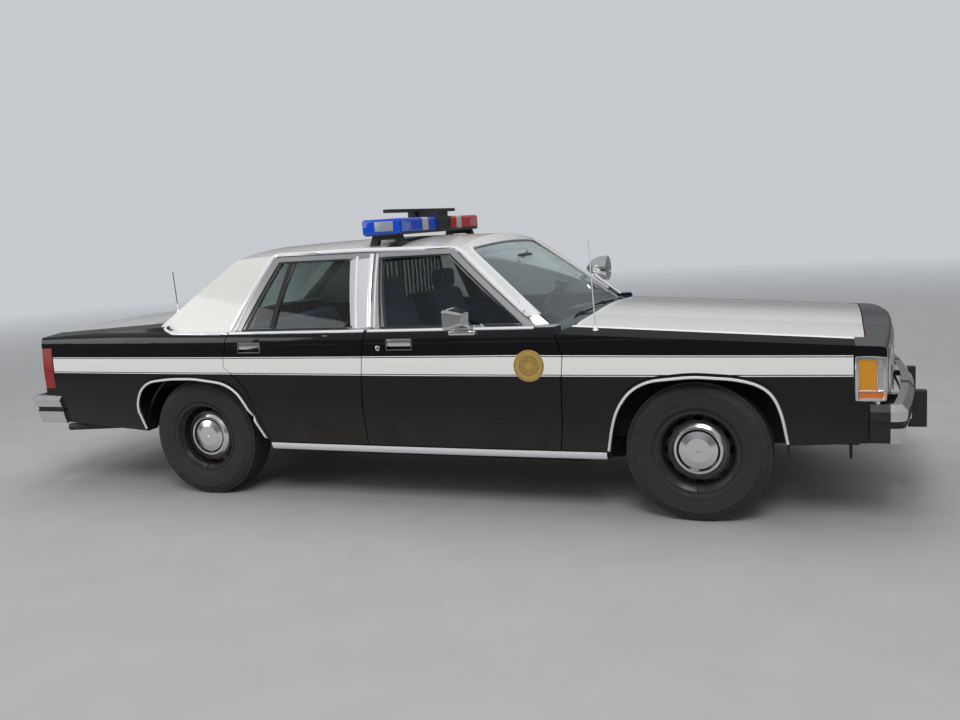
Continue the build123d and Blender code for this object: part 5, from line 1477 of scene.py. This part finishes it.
class FrontFace(Dresser):
    """Bezels of the headlamps, grille and corner lamps."""

    # least and greatest width, and least and greatest height
    LAMPS: tuple[Point, Point] = ((0.365, 0.800), (0.685, 0.830))
    GRILLE: tuple[Point, Point] = ((-0.330, 0.330), (0.655, 0.845))
    CORNER: tuple[Point, ...] = ((3.620, 0.6245), (3.620, 0.8155), (3.733, 0.8115), (3.733, 0.6245))
    CORNER_BARS: tuple[tuple[str, Point, Point], ...] = (
        ("corner_bar", (3.625, 0.664), (3.730, 0.664)),
        ("corner_upright", (3.703, 0.670), (3.703, 0.806)),
    )
    FACE: float = 3.800  # station of the face at the middle of the car
    FACE_BOW: float = 14.88  # twice the radius of its bow
    BEZEL_OUT: float = 0.006
    RING_IN: Point = (0.014, 0.010)
    RING_SINK: float = 0.034

    def frame_round(self, name: str, wide: Point, high: Point, section: Sequence[Point],
                    sink: float = 0.0) -> None:
        """Lays a closed bright frame on the face.

        Args:
            name: the frame's name.
            wide: its least and greatest width.
            high: its least and greatest height.
            section: its corners.
            sink: how far it stands behind the face.
        """
        corners = [(wide[0], high[0]), (wide[1], high[0]), (wide[1], high[1]), (wide[0], high[1])]
        points = [place(self.FACE - width * width / self.FACE_BOW - sink, width, height)
                  for width, height in fine(corners, 0.05, closed=True)]
        outs = [Vector((1, point.y * 0.13, 0)).normalized() for point in points]
        self.plate(strip(name, row_of_spots(points, outs, True), section, True))

    def lamps(self, hand: Hand) -> None:
        """Makes the bezel and the two lamp rings of one side."""
        wide, high = self.LAMPS
        out = self.BEZEL_OUT
        near, far = hand.span(wide[0] - out, wide[1] + out)
        self.frame_round(f"lamp_bezel_{hand.word}", (near, far), (high[0] - out, high[1] + out),
                         half_round(0.018, 0.007))
        middle = hand.value * (wide[0] + wide[1]) / 2
        across, up = self.RING_IN
        for index, (left, right) in enumerate(((near, middle), (middle, far))):
            self.frame_round(f"lamp_ring_{hand.word}_{index}", (left + across, right - across),
                             (high[0] + up, high[1] - up), half_round(0.016, 0.010), self.RING_SINK)

    def build(self) -> None:
        """Makes every bezel."""
        for hand in Hand:
            self.lamps(hand)
            skin = Skin("corner_lamps", f"fender_{hand.word}", "header_panel")
            rim = half_round(0.017, 0.006)
            self.plate(skin.side_strip(f"corner_bezel_{hand.word}", hand, self.CORNER, rim, True))
            bar = half_round(0.009, 0.005)
            for name, first, last in self.CORNER_BARS:
                self.plate(skin.side_strip(f"{name}_{hand.word}", hand, (first, last), bar))
        self.frame_round("grille_surround", *self.GRILLE, half_round(0.022, 0.008), -0.001)


class RearFace(Dresser):
    """Tail lamp bezels, the blank plate and the lid lock."""

    # least and greatest width, and least and greatest height
    LAMP: tuple[Point, Point] = ((0.352, 0.900), (0.655, 0.896))
    LAMP_BARS: tuple[float, ...] = (0.735, 0.780, 0.825)
    PLATE_HALF: Point = (0.1525, 0.076)
    PLATE_MIDDLE: float = 0.800
    SCREW_WIDTHS: Point = (-0.089, 0.089)
    SCREW: tuple[Point, ...] = ((0.0, 0.0025), (0.003, 0.0024), (0.0055, 0.001), (0.006, -0.001))
    LOCK: tuple[Point, ...] = ((0.0, 0.006), (0.012, 0.006), (0.016, 0.0045), (0.018, -0.002), (0.0, -0.002))
    LOCK_HEIGHT: float = 0.935
    BACK = Vector((-1, 0, 0))

    def from_back(self, width: float, height: float) -> tuple[Vector, Vector]:
        """The place and normal of the tail, seen from straight behind."""
        skin = Skin("rear_panel", "tail_lamps", "trunk_lid")
        found = skin.look(place(-2.2, width, height), -self.BACK)
        if found is None:
            raise ValueError(f"no tail at width {width:.3f}, height {height:.3f}")
        return found

    def build(self) -> None:
        """Makes every piece of the tail."""
        wide, high = self.LAMP
        for hand in Hand:
            near, far = hand.span(*wide)
            corners = [(near, high[0]), (far, high[0]), (far, high[1]), (near, high[1])]
            points = [self.from_back(*corner)[0] for corner in fine(corners, 0.05, closed=True)]
            spots = row_of_spots(points, [self.BACK] * len(points), True)
            self.plate(strip(f"tail_bezel_{hand.word}", spots, half_round(0.014, 0.006), True))
            for index, height in enumerate(self.LAMP_BARS):
                widths = [hand.value * (wide[0] + 0.01 + i * 0.05) for i in range(11)]
                line = [self.from_back(width, height)[0] for width in widths]
                spots = row_of_spots(line, [self.BACK] * len(line))
                self.plate(strip(f"tail_bar_{hand.word}_{index}", spots, half_round(0.005, 0.003)))
        self.number_plate()
        at, _ = self.from_back(0.0, self.LOCK_HEIGHT)
        self.plate(turned("lid_lock", self.LOCK, at, self.BACK, 24), "trunk_lid")

    def number_plate(self) -> None:
        """Makes the blank plate with its frame and screws."""
        at, _ = self.from_back(0.0, self.PLATE_MIDDLE)
        half_wide, half_high = self.PLATE_HALF
        low = Vector((at.x - 0.006, -half_wide, self.PLATE_MIDDLE - half_high))
        high = Vector((at.x + 0.002, half_wide, self.PLATE_MIDDLE + half_high))
        plate = block("blank_plate", low, high, 0.0015, 2)
        with editing(plate):
            pick_faces(plate, lambda centre, normal: normal.x < -0.9 and centre.x < low.x + 0.001)
            bpy.ops.mesh.inset(thickness=0.008, depth=0.0)
            bpy.ops.mesh.inset(thickness=0.002, depth=-0.0015)
        self.fit(plate, "trunk_lid", "plate_metal", "white_paint")
        for index, width in enumerate(self.SCREW_WIDTHS):
            at = Vector((low.x + 0.001, width, high.z - 0.012))
            screw = turned(f"plate_screw_{index}", self.SCREW, at, self.BACK, 16)
            self.fit(screw, "trunk_lid", "bare_steel", "chrome")


class Spotlight(Dresser):
    """Glass and rim of the pillar spotlight."""

    MIDDLE_OF_FACE: Place = (2.080, 0.905, 1.155)
    # radius and distance ahead of the middle of the face
    GLASS: tuple[Point, ...] = (
        (0.0, 0.008), (0.030, 0.007), (0.058, 0.004), (0.076, 0.0005), (0.076, -0.002),
    )
    RIM: tuple[Point, ...] = (
        (0.074, -0.004), (0.074, 0.003), (0.079, 0.005), (0.084, 0.002), (0.0845, -0.010), (0.0815, -0.010),
    )

    def build(self) -> None:
        """Makes the glass and the rim round it."""
        centre = place(*self.MIDDLE_OF_FACE)
        ahead = Vector((1, 0, 0))
        self.fit(turned("spot_glass", self.GLASS, centre, ahead), "body", "headlamp_lens", "clear_lens")
        self.plate(turned("spot_rim", self.RIM, centre, ahead, closed=True))


class Lightbar(Dresser):
    """Coloured domes of the roof bar, with the lamps inside them."""

    REAR: float = 1.022
    FRONT: float = 1.268
    LOW: float = 1.479
    HIGH: float = 1.570
    WALL: float = 0.003
    EDGE: float = 0.016
    JOINT: float = 0.0005
    SEGMENTS: tuple[tuple[float, float, str], ...] = (
        # inner and outer width, and what shows through
        (0.0965, 0.2210, "colour"), (0.2215, 0.3050, "clear"), (0.3055, 0.6040, "colour"),
    )
    FINISH: dict[tuple[Hand, str], str] = {
        (Hand.RIGHT, "colour"): "beacon_blue", (Hand.RIGHT, "clear"): "beacon_clear",
        (Hand.LEFT, "colour"): "beacon_red", (Hand.LEFT, "clear"): "beacon_clear",
    }
    LAMP_HEIGHT: float = 1.530
    LAMPS: tuple[tuple[float, Point, bool], ...] = (
        # width, the way it faces ahead and outwards, whether a second lamp stands behind it
        (0.160, (1, 0), True), (0.264, (1, 0), False), (0.370, (0.8, 1), False), (0.470, (1, -0.5), True),
        (0.565, (0, 1), False),
    )
    LAMP_STATIONS: Point = (1.150, 1.090)
    BOWL: tuple[Point, ...] = (
        # radius and distance along the bowl's axis, inside first
        (0.0, -0.020), (0.012, -0.018), (0.022, -0.008), (0.028, 0.010), (0.0295, 0.010), (0.0235, -0.009),
        (0.013, -0.0195), (0.0, -0.0215),
    )
    BULB: tuple[Point, ...] = (
        (0.0, 0.006), (0.005, 0.003), (0.006, -0.004), (0.003, -0.012), (0.003, -0.019),
    )
    MOTOR_HALF: float = 0.018
    MOTOR_HEIGHTS: Point = (-0.036, -0.026)
    WINDOW: tuple[Place, Place] = ((1.105, 0.6000, 1.500), (1.222, 0.6060, 1.556))
    STRAP_STATION: float = 1.180
    STRAP_WIDTHS: tuple[float, ...] = (0.56, 0.60, 0.635, 0.665)

    def dome(self, hand: Hand, inner: float, outer: float, kind: str, index: int) -> bpy.types.Object:
        """Makes one hollow section of the bar.

        Args:
            hand: the side of the car.
            inner: its inner width.
            outer: its outer width.
            kind: colour or clear.
            index: its number from the middle.

        Returns:
            The section, closed at the bar's end and open where it meets the next.
        """
        near, far = hand.span(inner, outer - self.JOINT)
        low, high = place(self.REAR, near, self.LOW), place(self.FRONT, far, self.HIGH)
        deselect()
        bpy.ops.mesh.primitive_cube_add(size=1, location=(low + high) / 2)
        piece = bpy.context.active_object
        piece.scale = high - low
        settle(piece, f"dome_{hand.word}_{index}")
        last = index == len(self.SEGMENTS) - 1
        middle = (near + far) / 2
        with editing(piece, "EDGE") as grid:
            for edge in grid.edges:
                ends = [vertex.co for vertex in edge.verts]
                along = abs(ends[0].y - ends[1].y) > 0.01
                tip = last and all(abs(end.y) > abs(middle) for end in ends) and not along
                edge.select_set(along or tip)
            bmesh.update_edit_mesh(piece.data)
            bpy.ops.mesh.bevel(offset=self.EDGE, segments=4, affect="EDGES")

        def at_joint(centre: Vector, normal: Vector) -> bool:
            """Whether a face closes an end where the next section follows."""
            return abs(normal.y) > 0.99 and not (last and abs(centre.y) > abs(middle))

        with editing(piece):
            pick_faces(piece, at_joint)
            bpy.ops.mesh.delete(type="FACE")
            if kind == "colour":
                pick_faces(piece, lambda centre, normal: abs(normal.x) > 0.9)
                bpy.ops.mesh.inset(thickness=0.012, depth=-0.0015)
        modify(piece, "SOLIDIFY", thickness=self.WALL, offset=-1)
        return smooth(piece)

    def rotator(self, name: str, station: float, width: float, facing: Vector) -> None:
        """Makes one lamp: a motor block, a bright bowl and its bulb.

        Args:
            name: the lamp's name.
            station: its station.
            width: its width.
            facing: the way that the bowl opens.
        """
        at = place(station, width, self.LAMP_HEIGHT)
        self.plate(turned(f"bowl_{name}", self.BOWL, at, facing, 28))
        self.fit(turned(f"bulb_{name}", self.BULB, at, facing, 16), "body", "clear_lens", "clear_lens")
        half = self.MOTOR_HALF
        low, high = self.MOTOR_HEIGHTS
        foot, head = Vector((-half, -half, low)), Vector((half, half, high))
        motor = block(f"motor_{name}", at + foot, at + head, 0.003)
        self.fit(motor, "body", "black_plastic", "black_plastic")

    def build(self) -> None:
        """Makes the domes, the lamps under them and the straps to the roof."""
        for hand in Hand:
            for index, (inner, outer, kind) in enumerate(self.SEGMENTS):
                finish = self.FINISH[hand, kind]
                piece = self.fit(self.dome(hand, inner, outer, kind, index), "body", finish, "beacon_lens")
                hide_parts("lightbar_lenses")
            front, rear = self.LAMP_STATIONS
            for index, (width, (ahead, outwards), paired) in enumerate(self.LAMPS):
                facing = Vector((ahead, outwards * hand.value, 0))
                self.rotator(f"{hand.word}_{index}", front, hand.value * width, facing)
                if paired:
                    self.rotator(f"{hand.word}_{index}_rear", rear, hand.value * width, Vector((-1, 0.3, 0)))
            low, high = self.WINDOW
            near, far = hand.span(low[1], high[1])
            window = block(f"alley_window_{hand.word}", place(low[0], near, low[2]),
                           place(high[0], far, high[2]), 0.002)
            self.fit(window, "body", "clear_lens", "beacon_lens")
            roof = Skin("roof_panel")
            found = [roof.from_above(self.STRAP_STATION, hand.value * width) for width in self.STRAP_WIDTHS]
            spots = row_of_spots([at for at, _ in found], [normal for _, normal in found])
            strap = strip(f"bar_strap_{hand.word}", spots, half_round(0.070, 0.004))
            self.fit(strap, "body", "bright_trim", "chrome")


@dataclass(frozen=True)
class Cushion:
    """One padded form of the seats: its box before leaning, and how far its top stands back."""

    name: str
    low: Place
    high: Place
    lean: float = 0.0


class Cabin(Dresser):
    """Padded seats, the mesh of the screen and the small fittings inside."""

    FRONT_SEAT: tuple[Cushion, ...] = (
        # the left one, which the right one mirrors
        Cushion("front_cushion", (1.250, 0.100, 0.470), (1.755, 0.680, 0.620)),
        Cushion("front_back", (1.085, 0.100, 0.560), (1.245, 0.680, 1.100), 0.165),
        Cushion("front_head", (1.035, 0.262, 1.092), (1.115, 0.518, 1.228)),
    )
    REAR_SEAT: tuple[Cushion, ...] = (
        Cushion("rear_cushion", (0.330, -0.615, 0.565), (0.825, 0.615, 0.680)),
        Cushion("rear_back", (0.135, -0.615, 0.600), (0.290, 0.615, 0.985), 0.1815),
    )
    FILL: float = 0.7  # how full the forms are
    GRAIN: float = 0.016  # size of the mesh that the cloth gets
    CLOTH_FRAMES: int = 20
    PRESSURE: float = 4.0
    MOST_SWELL: float = 0.014
    CHANNELS: int = 5  # sewn channels across one seat
    CHANNEL_DEPTH: float = 0.007
    MESH_MIDDLE: Place = (0.967, 0.0, 1.135)
    MESH_SIZE: Point = (1.15, 0.355)  # width and height
    MESH_TAPER: Point = (1.22, 0.24)  # share of the width at its foot, and what it loses up to its head
    ARMRESTS: tuple[tuple[str, float], ...] = (("front_door", 1.62), ("rear_door", 0.80))
    ARMREST_HALF: float = 0.16
    ARMREST_HEIGHTS: Point = (0.685, 0.730)
    BLOCKS: tuple[tuple[str, Place, Place, float, int, str], ...] = (
        # name, lowest and highest corner, rounding and its steps, finish
        ("inside_mirror", (1.770, -0.115, 1.262), (1.800, 0.115, 1.315), 0.008, 3, "black_plastic"),
        ("visor_right", (1.560, -0.50, 1.330), (1.690, -0.12, 1.345), 0.006, 2, "trim_plastic"),
        ("visor_left", (1.560, 0.12, 1.330), (1.690, 0.50, 1.345), 0.006, 2, "trim_plastic"),
        ("two_way_radio", (2.010, -0.105, 0.640), (2.060, 0.105, 0.700), 0.004, 2, "black_plastic"),
    )

    def swell(self, piece: bpy.types.Object) -> None:
        """Blows a piece up a little, as cloth over its filling."""
        before = [vertex.co.copy() for vertex in piece.data.vertices]
        cloth = piece.modifiers.new("Cloth", "CLOTH")
        cloth.settings.use_pressure = True
        cloth.settings.uniform_pressure_force = self.PRESSURE
        cloth.settings.effector_weights.gravity = 0.0
        cloth.point_cache.frame_start = 1
        cloth.point_cache.frame_end = self.CLOTH_FRAMES
        for number in range(1, self.CLOTH_FRAMES + 1):
            bpy.context.scene.frame_set(number)
        take(piece)
        bpy.ops.object.modifier_apply(modifier=cloth.name)
        bpy.context.scene.frame_set(1)
        for vertex, start in zip(piece.data.vertices, before):
            move = vertex.co - start
            if move.length > self.MOST_SWELL:
                vertex.co = start + move * (self.MOST_SWELL / move.length)

    def pad(self, name: str, form: Cushion, hand: Hand = Hand.LEFT) -> None:
        """Makes one padded form with its sewn channels.

        Args:
            name: the form's name.
            form: its box and its lean.
            hand: the side of the car that it is on.
        """
        near, far = hand.span(form.low[1], form.high[1])
        low, high = place(form.low[0], near, form.low[2]), place(form.high[0], far, form.high[2])
        piece = block(name, low, high, 0.030, 3)
        tall = high.z - low.z
        for vertex in piece.data.vertices:
            vertex.co.x -= form.lean * (vertex.co.z - low.z) / tall
        modify(piece, "REMESH", mode="VOXEL", voxel_size=self.GRAIN)
        self.swell(piece)
        wide = high.y - low.y
        channels = self.CHANNELS * (2 if wide > 1 else 1)
        for vertex in piece.data.vertices:
            across = (vertex.co.y - low.y) / wide
            edge = min(abs(across * channels % 1.0 - 0.5) * 2, 1.0)
            vertex.co -= vertex.normal * self.CHANNEL_DEPTH * max(0.0, edge - 0.85) / 0.15
        modify(piece, "SUBSURF", levels=1, render_levels=1)
        self.fit(smooth(piece, 60), "body", "seat_cloth", "seat_vinyl")
        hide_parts("seats")

    def seats(self) -> None:
        """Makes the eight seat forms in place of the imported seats."""
        for form in self.FRONT_SEAT:
            for hand in Hand:
                self.pad(f"{form.name}_{hand.word}", form, hand)
        for form in self.REAR_SEAT:
            self.pad(form.name, form)

    def screen(self) -> None:
        """Makes the woven mesh of the screen behind the front seats."""
        wide, high = self.MESH_SIZE
        foot_share, taper = self.MESH_TAPER
        deselect()
        bpy.ops.mesh.primitive_grid_add(x_subdivisions=16, y_subdivisions=48, size=1,
                                        location=(0, 0, 0), rotation=(0, math.pi / 2, 0))
        mesh = bpy.context.active_object
        mesh.scale = (high, wide, 1)
        settle(mesh, "screen_mesh")
        for vertex in mesh.data.vertices:
            rise = vertex.co.z / high + 0.5
            vertex.co.y *= foot_share - taper * rise
            vertex.co += place(*self.MESH_MIDDLE)
        modify(mesh, "WIREFRAME", thickness=0.0040)
        self.fit(mesh, "body", "mesh_steel", "cabin_plastic")

    def armrest(self, door: str, hand: Hand, station: float) -> None:
        """Puts an armrest on the inner side of a door."""
        low, high = self.ARMREST_HEIGHTS
        at, _ = Skin(door).look(place(station, 0.0, 0.70), -hand.inward)
        near, far = hand.span(abs(at.y) - 0.055, abs(at.y) + 0.002)
        rest = block(f"armrest_{door}", Vector((at.x - self.ARMREST_HALF, near, low)),
                     Vector((at.x + self.ARMREST_HALF, far, high)), 0.014, 3)
        self.fit(rest, door, "trim_plastic", "cabin_plastic")

    def fittings(self) -> None:
        """Makes the inside mirror, the visors, the radio and the armrests."""
        for name, low, high, bevel, steps, finish in self.BLOCKS:
            self.fit(block(name, place(*low), place(*high), bevel, steps), "body", finish, "cabin_plastic")
        spots = row_of_spots([place(1.795, 0, 1.312), place(1.806, 0, 1.330)], [Vector((0, 1, 0))] * 2)
        self.fit(strip("mirror_stem", spots, tube_section(0.006)), "body", "bare_steel", "cabin_plastic")
        for hand in Hand:
            for door, station in self.ARMRESTS:
                self.armrest(f"{door}_{hand.word}", hand, station)

    def build(self) -> None:
        """Makes everything inside."""
        self.seats()
        self.screen()
        self.fittings()


class Sky(Board):
    """The node tree of the surroundings."""

    def __init__(self) -> None:
        """Makes the world and opens its tree."""
        world = bpy.data.worlds.new("surroundings")
        bpy.context.scene.world = world
        world.use_nodes = True
        self.tree = world.node_tree
        self.shader = next(n for n in self.tree.nodes if n.type == "BACKGROUND")


@dataclass
class Studio:
    """Pale floor, soft lamps and the camera at the photograph's place."""

    eye: Place = (3.535, -5.261, 1.513)
    turn: Place = (81.4747, 3.6318, 21.0242)
    lens: float = 34.26
    sensor: float = 36.0
    target: Place = (0.0, 0.0, 0.5)
    not_mirrored: tuple[str, ...] = ("top", "back")
    sky: Colour = (0.92, 0.95, 1.0)
    sky_light: float = 0.50
    sky_seen: float = 0.62
    mirrored_rises: Point = (0.12, 0.42)  # upward part of the direction where the dimming ends
    mirrored_dimming: float = -0.34
    floor_radius: float = 24.0
    floor_fade: Point = (5.0, 20.0)
    floor_tones: tuple[Colour, Colour] = ((0.33, 0.325, 0.315), (0.38, 0.375, 0.365))
    lamps: tuple[tuple[str, Place, float, float], ...] = (
        # name, place, size and power
        ("key", (2.5, -6.5, 7.5), 4.0, 430.0), ("fill", (-6.0, -5.0, 3.5), 4.0, 120.0),
        ("top", (0.0, 0.5, 8.0), 6.0, 260.0), ("back", (-2.0, 7.0, 4.0), 5.0, 160.0),
    )

    def build(self) -> None:
        """Makes the floor, the lamps, the surroundings and the camera."""
        self.floor()
        for name, where, size, power in self.lamps:
            data = bpy.data.lights.new(name, "AREA")
            data.size = size
            data.energy = power
            lamp = bpy.data.objects.new(name, data)
            bpy.context.scene.collection.objects.link(lamp)
            lamp.location = where
            lamp.rotation_euler = (Vector(self.target) - Vector(where)).to_track_quat("-Z", "Y").to_euler()
            lamp.visible_glossy = name not in self.not_mirrored
        self.surroundings()
        data = bpy.data.cameras.new("view")
        data.lens = self.lens
        data.sensor_width = self.sensor
        camera = bpy.data.objects.new("view", data)
        bpy.context.scene.collection.objects.link(camera)
        camera.location = place(*self.eye)
        camera.rotation_euler = tuple(math.radians(angle) for angle in self.turn)
        bpy.context.scene.camera = camera
        bpy.context.scene.view_settings.view_transform = "Standard"

    def floor(self) -> None:
        """Lays a round grey floor that fades out some way from the car."""
        floor = ring("studio_floor", 64, "NGON", self.floor_radius)
        board = Board("floor_grey")
        x, y, _ = board.axes()
        fade = board.ramp(board.length(x, y), *self.floor_fade, 1.0, 0.0)
        board.set(Base_Color=board.mix(board.noise(3.0, 4.0), *self.floor_tones), Roughness=0.85,
                  Specular_IOR_Level=0.2, Alpha=fade)
        board.bump(board.noise(40.0, 4.0), 0.2, 0.004)
        floor.data.materials.append(board.material)

    def surroundings(self) -> None:
        """Plain surroundings, paler to the eye than as light, and dimmer low down in reflections."""
        board = Sky()
        path = board.add("ShaderNodeLightPath").outputs
        seen = board.larger(path["Is Camera Ray"], path["Is Transmission Ray"])
        level = board.ramp(seen, 0.0, 1.0, self.sky_light, self.sky_seen)
        _, _, rise = board.split(board.add("ShaderNodeTexCoord").outputs["Generated"])
        dimming = board.ramp(rise, *self.mirrored_rises, self.mirrored_dimming, 0.0)
        strength = board.math("ADD", board.product(path["Is Glossy Ray"], dimming), level)
        board.set(Strength=strength, Color=self.sky)


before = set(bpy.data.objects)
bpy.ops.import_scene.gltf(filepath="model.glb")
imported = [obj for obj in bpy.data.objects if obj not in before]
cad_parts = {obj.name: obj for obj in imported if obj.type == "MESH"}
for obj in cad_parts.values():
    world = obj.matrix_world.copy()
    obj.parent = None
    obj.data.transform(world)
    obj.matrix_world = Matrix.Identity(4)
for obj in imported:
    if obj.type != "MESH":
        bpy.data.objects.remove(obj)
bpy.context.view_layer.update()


def main() -> None:
    """Builds the looks in order."""
    logging.basicConfig(level=logging.INFO, format="%(name)s: %(message)s")
    finishes = Finishes()
    Studio().build()
    PackedParts(finishes).build()
    for dresser in (Tyres, SideTrim, DoorFittings, ScreenTrim, FrontFace, RearFace, Spotlight, Lightbar,
                    Cabin):
        dresser(finishes).build()


if __name__ == "__main__":
    main()
    bpy.context.view_layer.update()
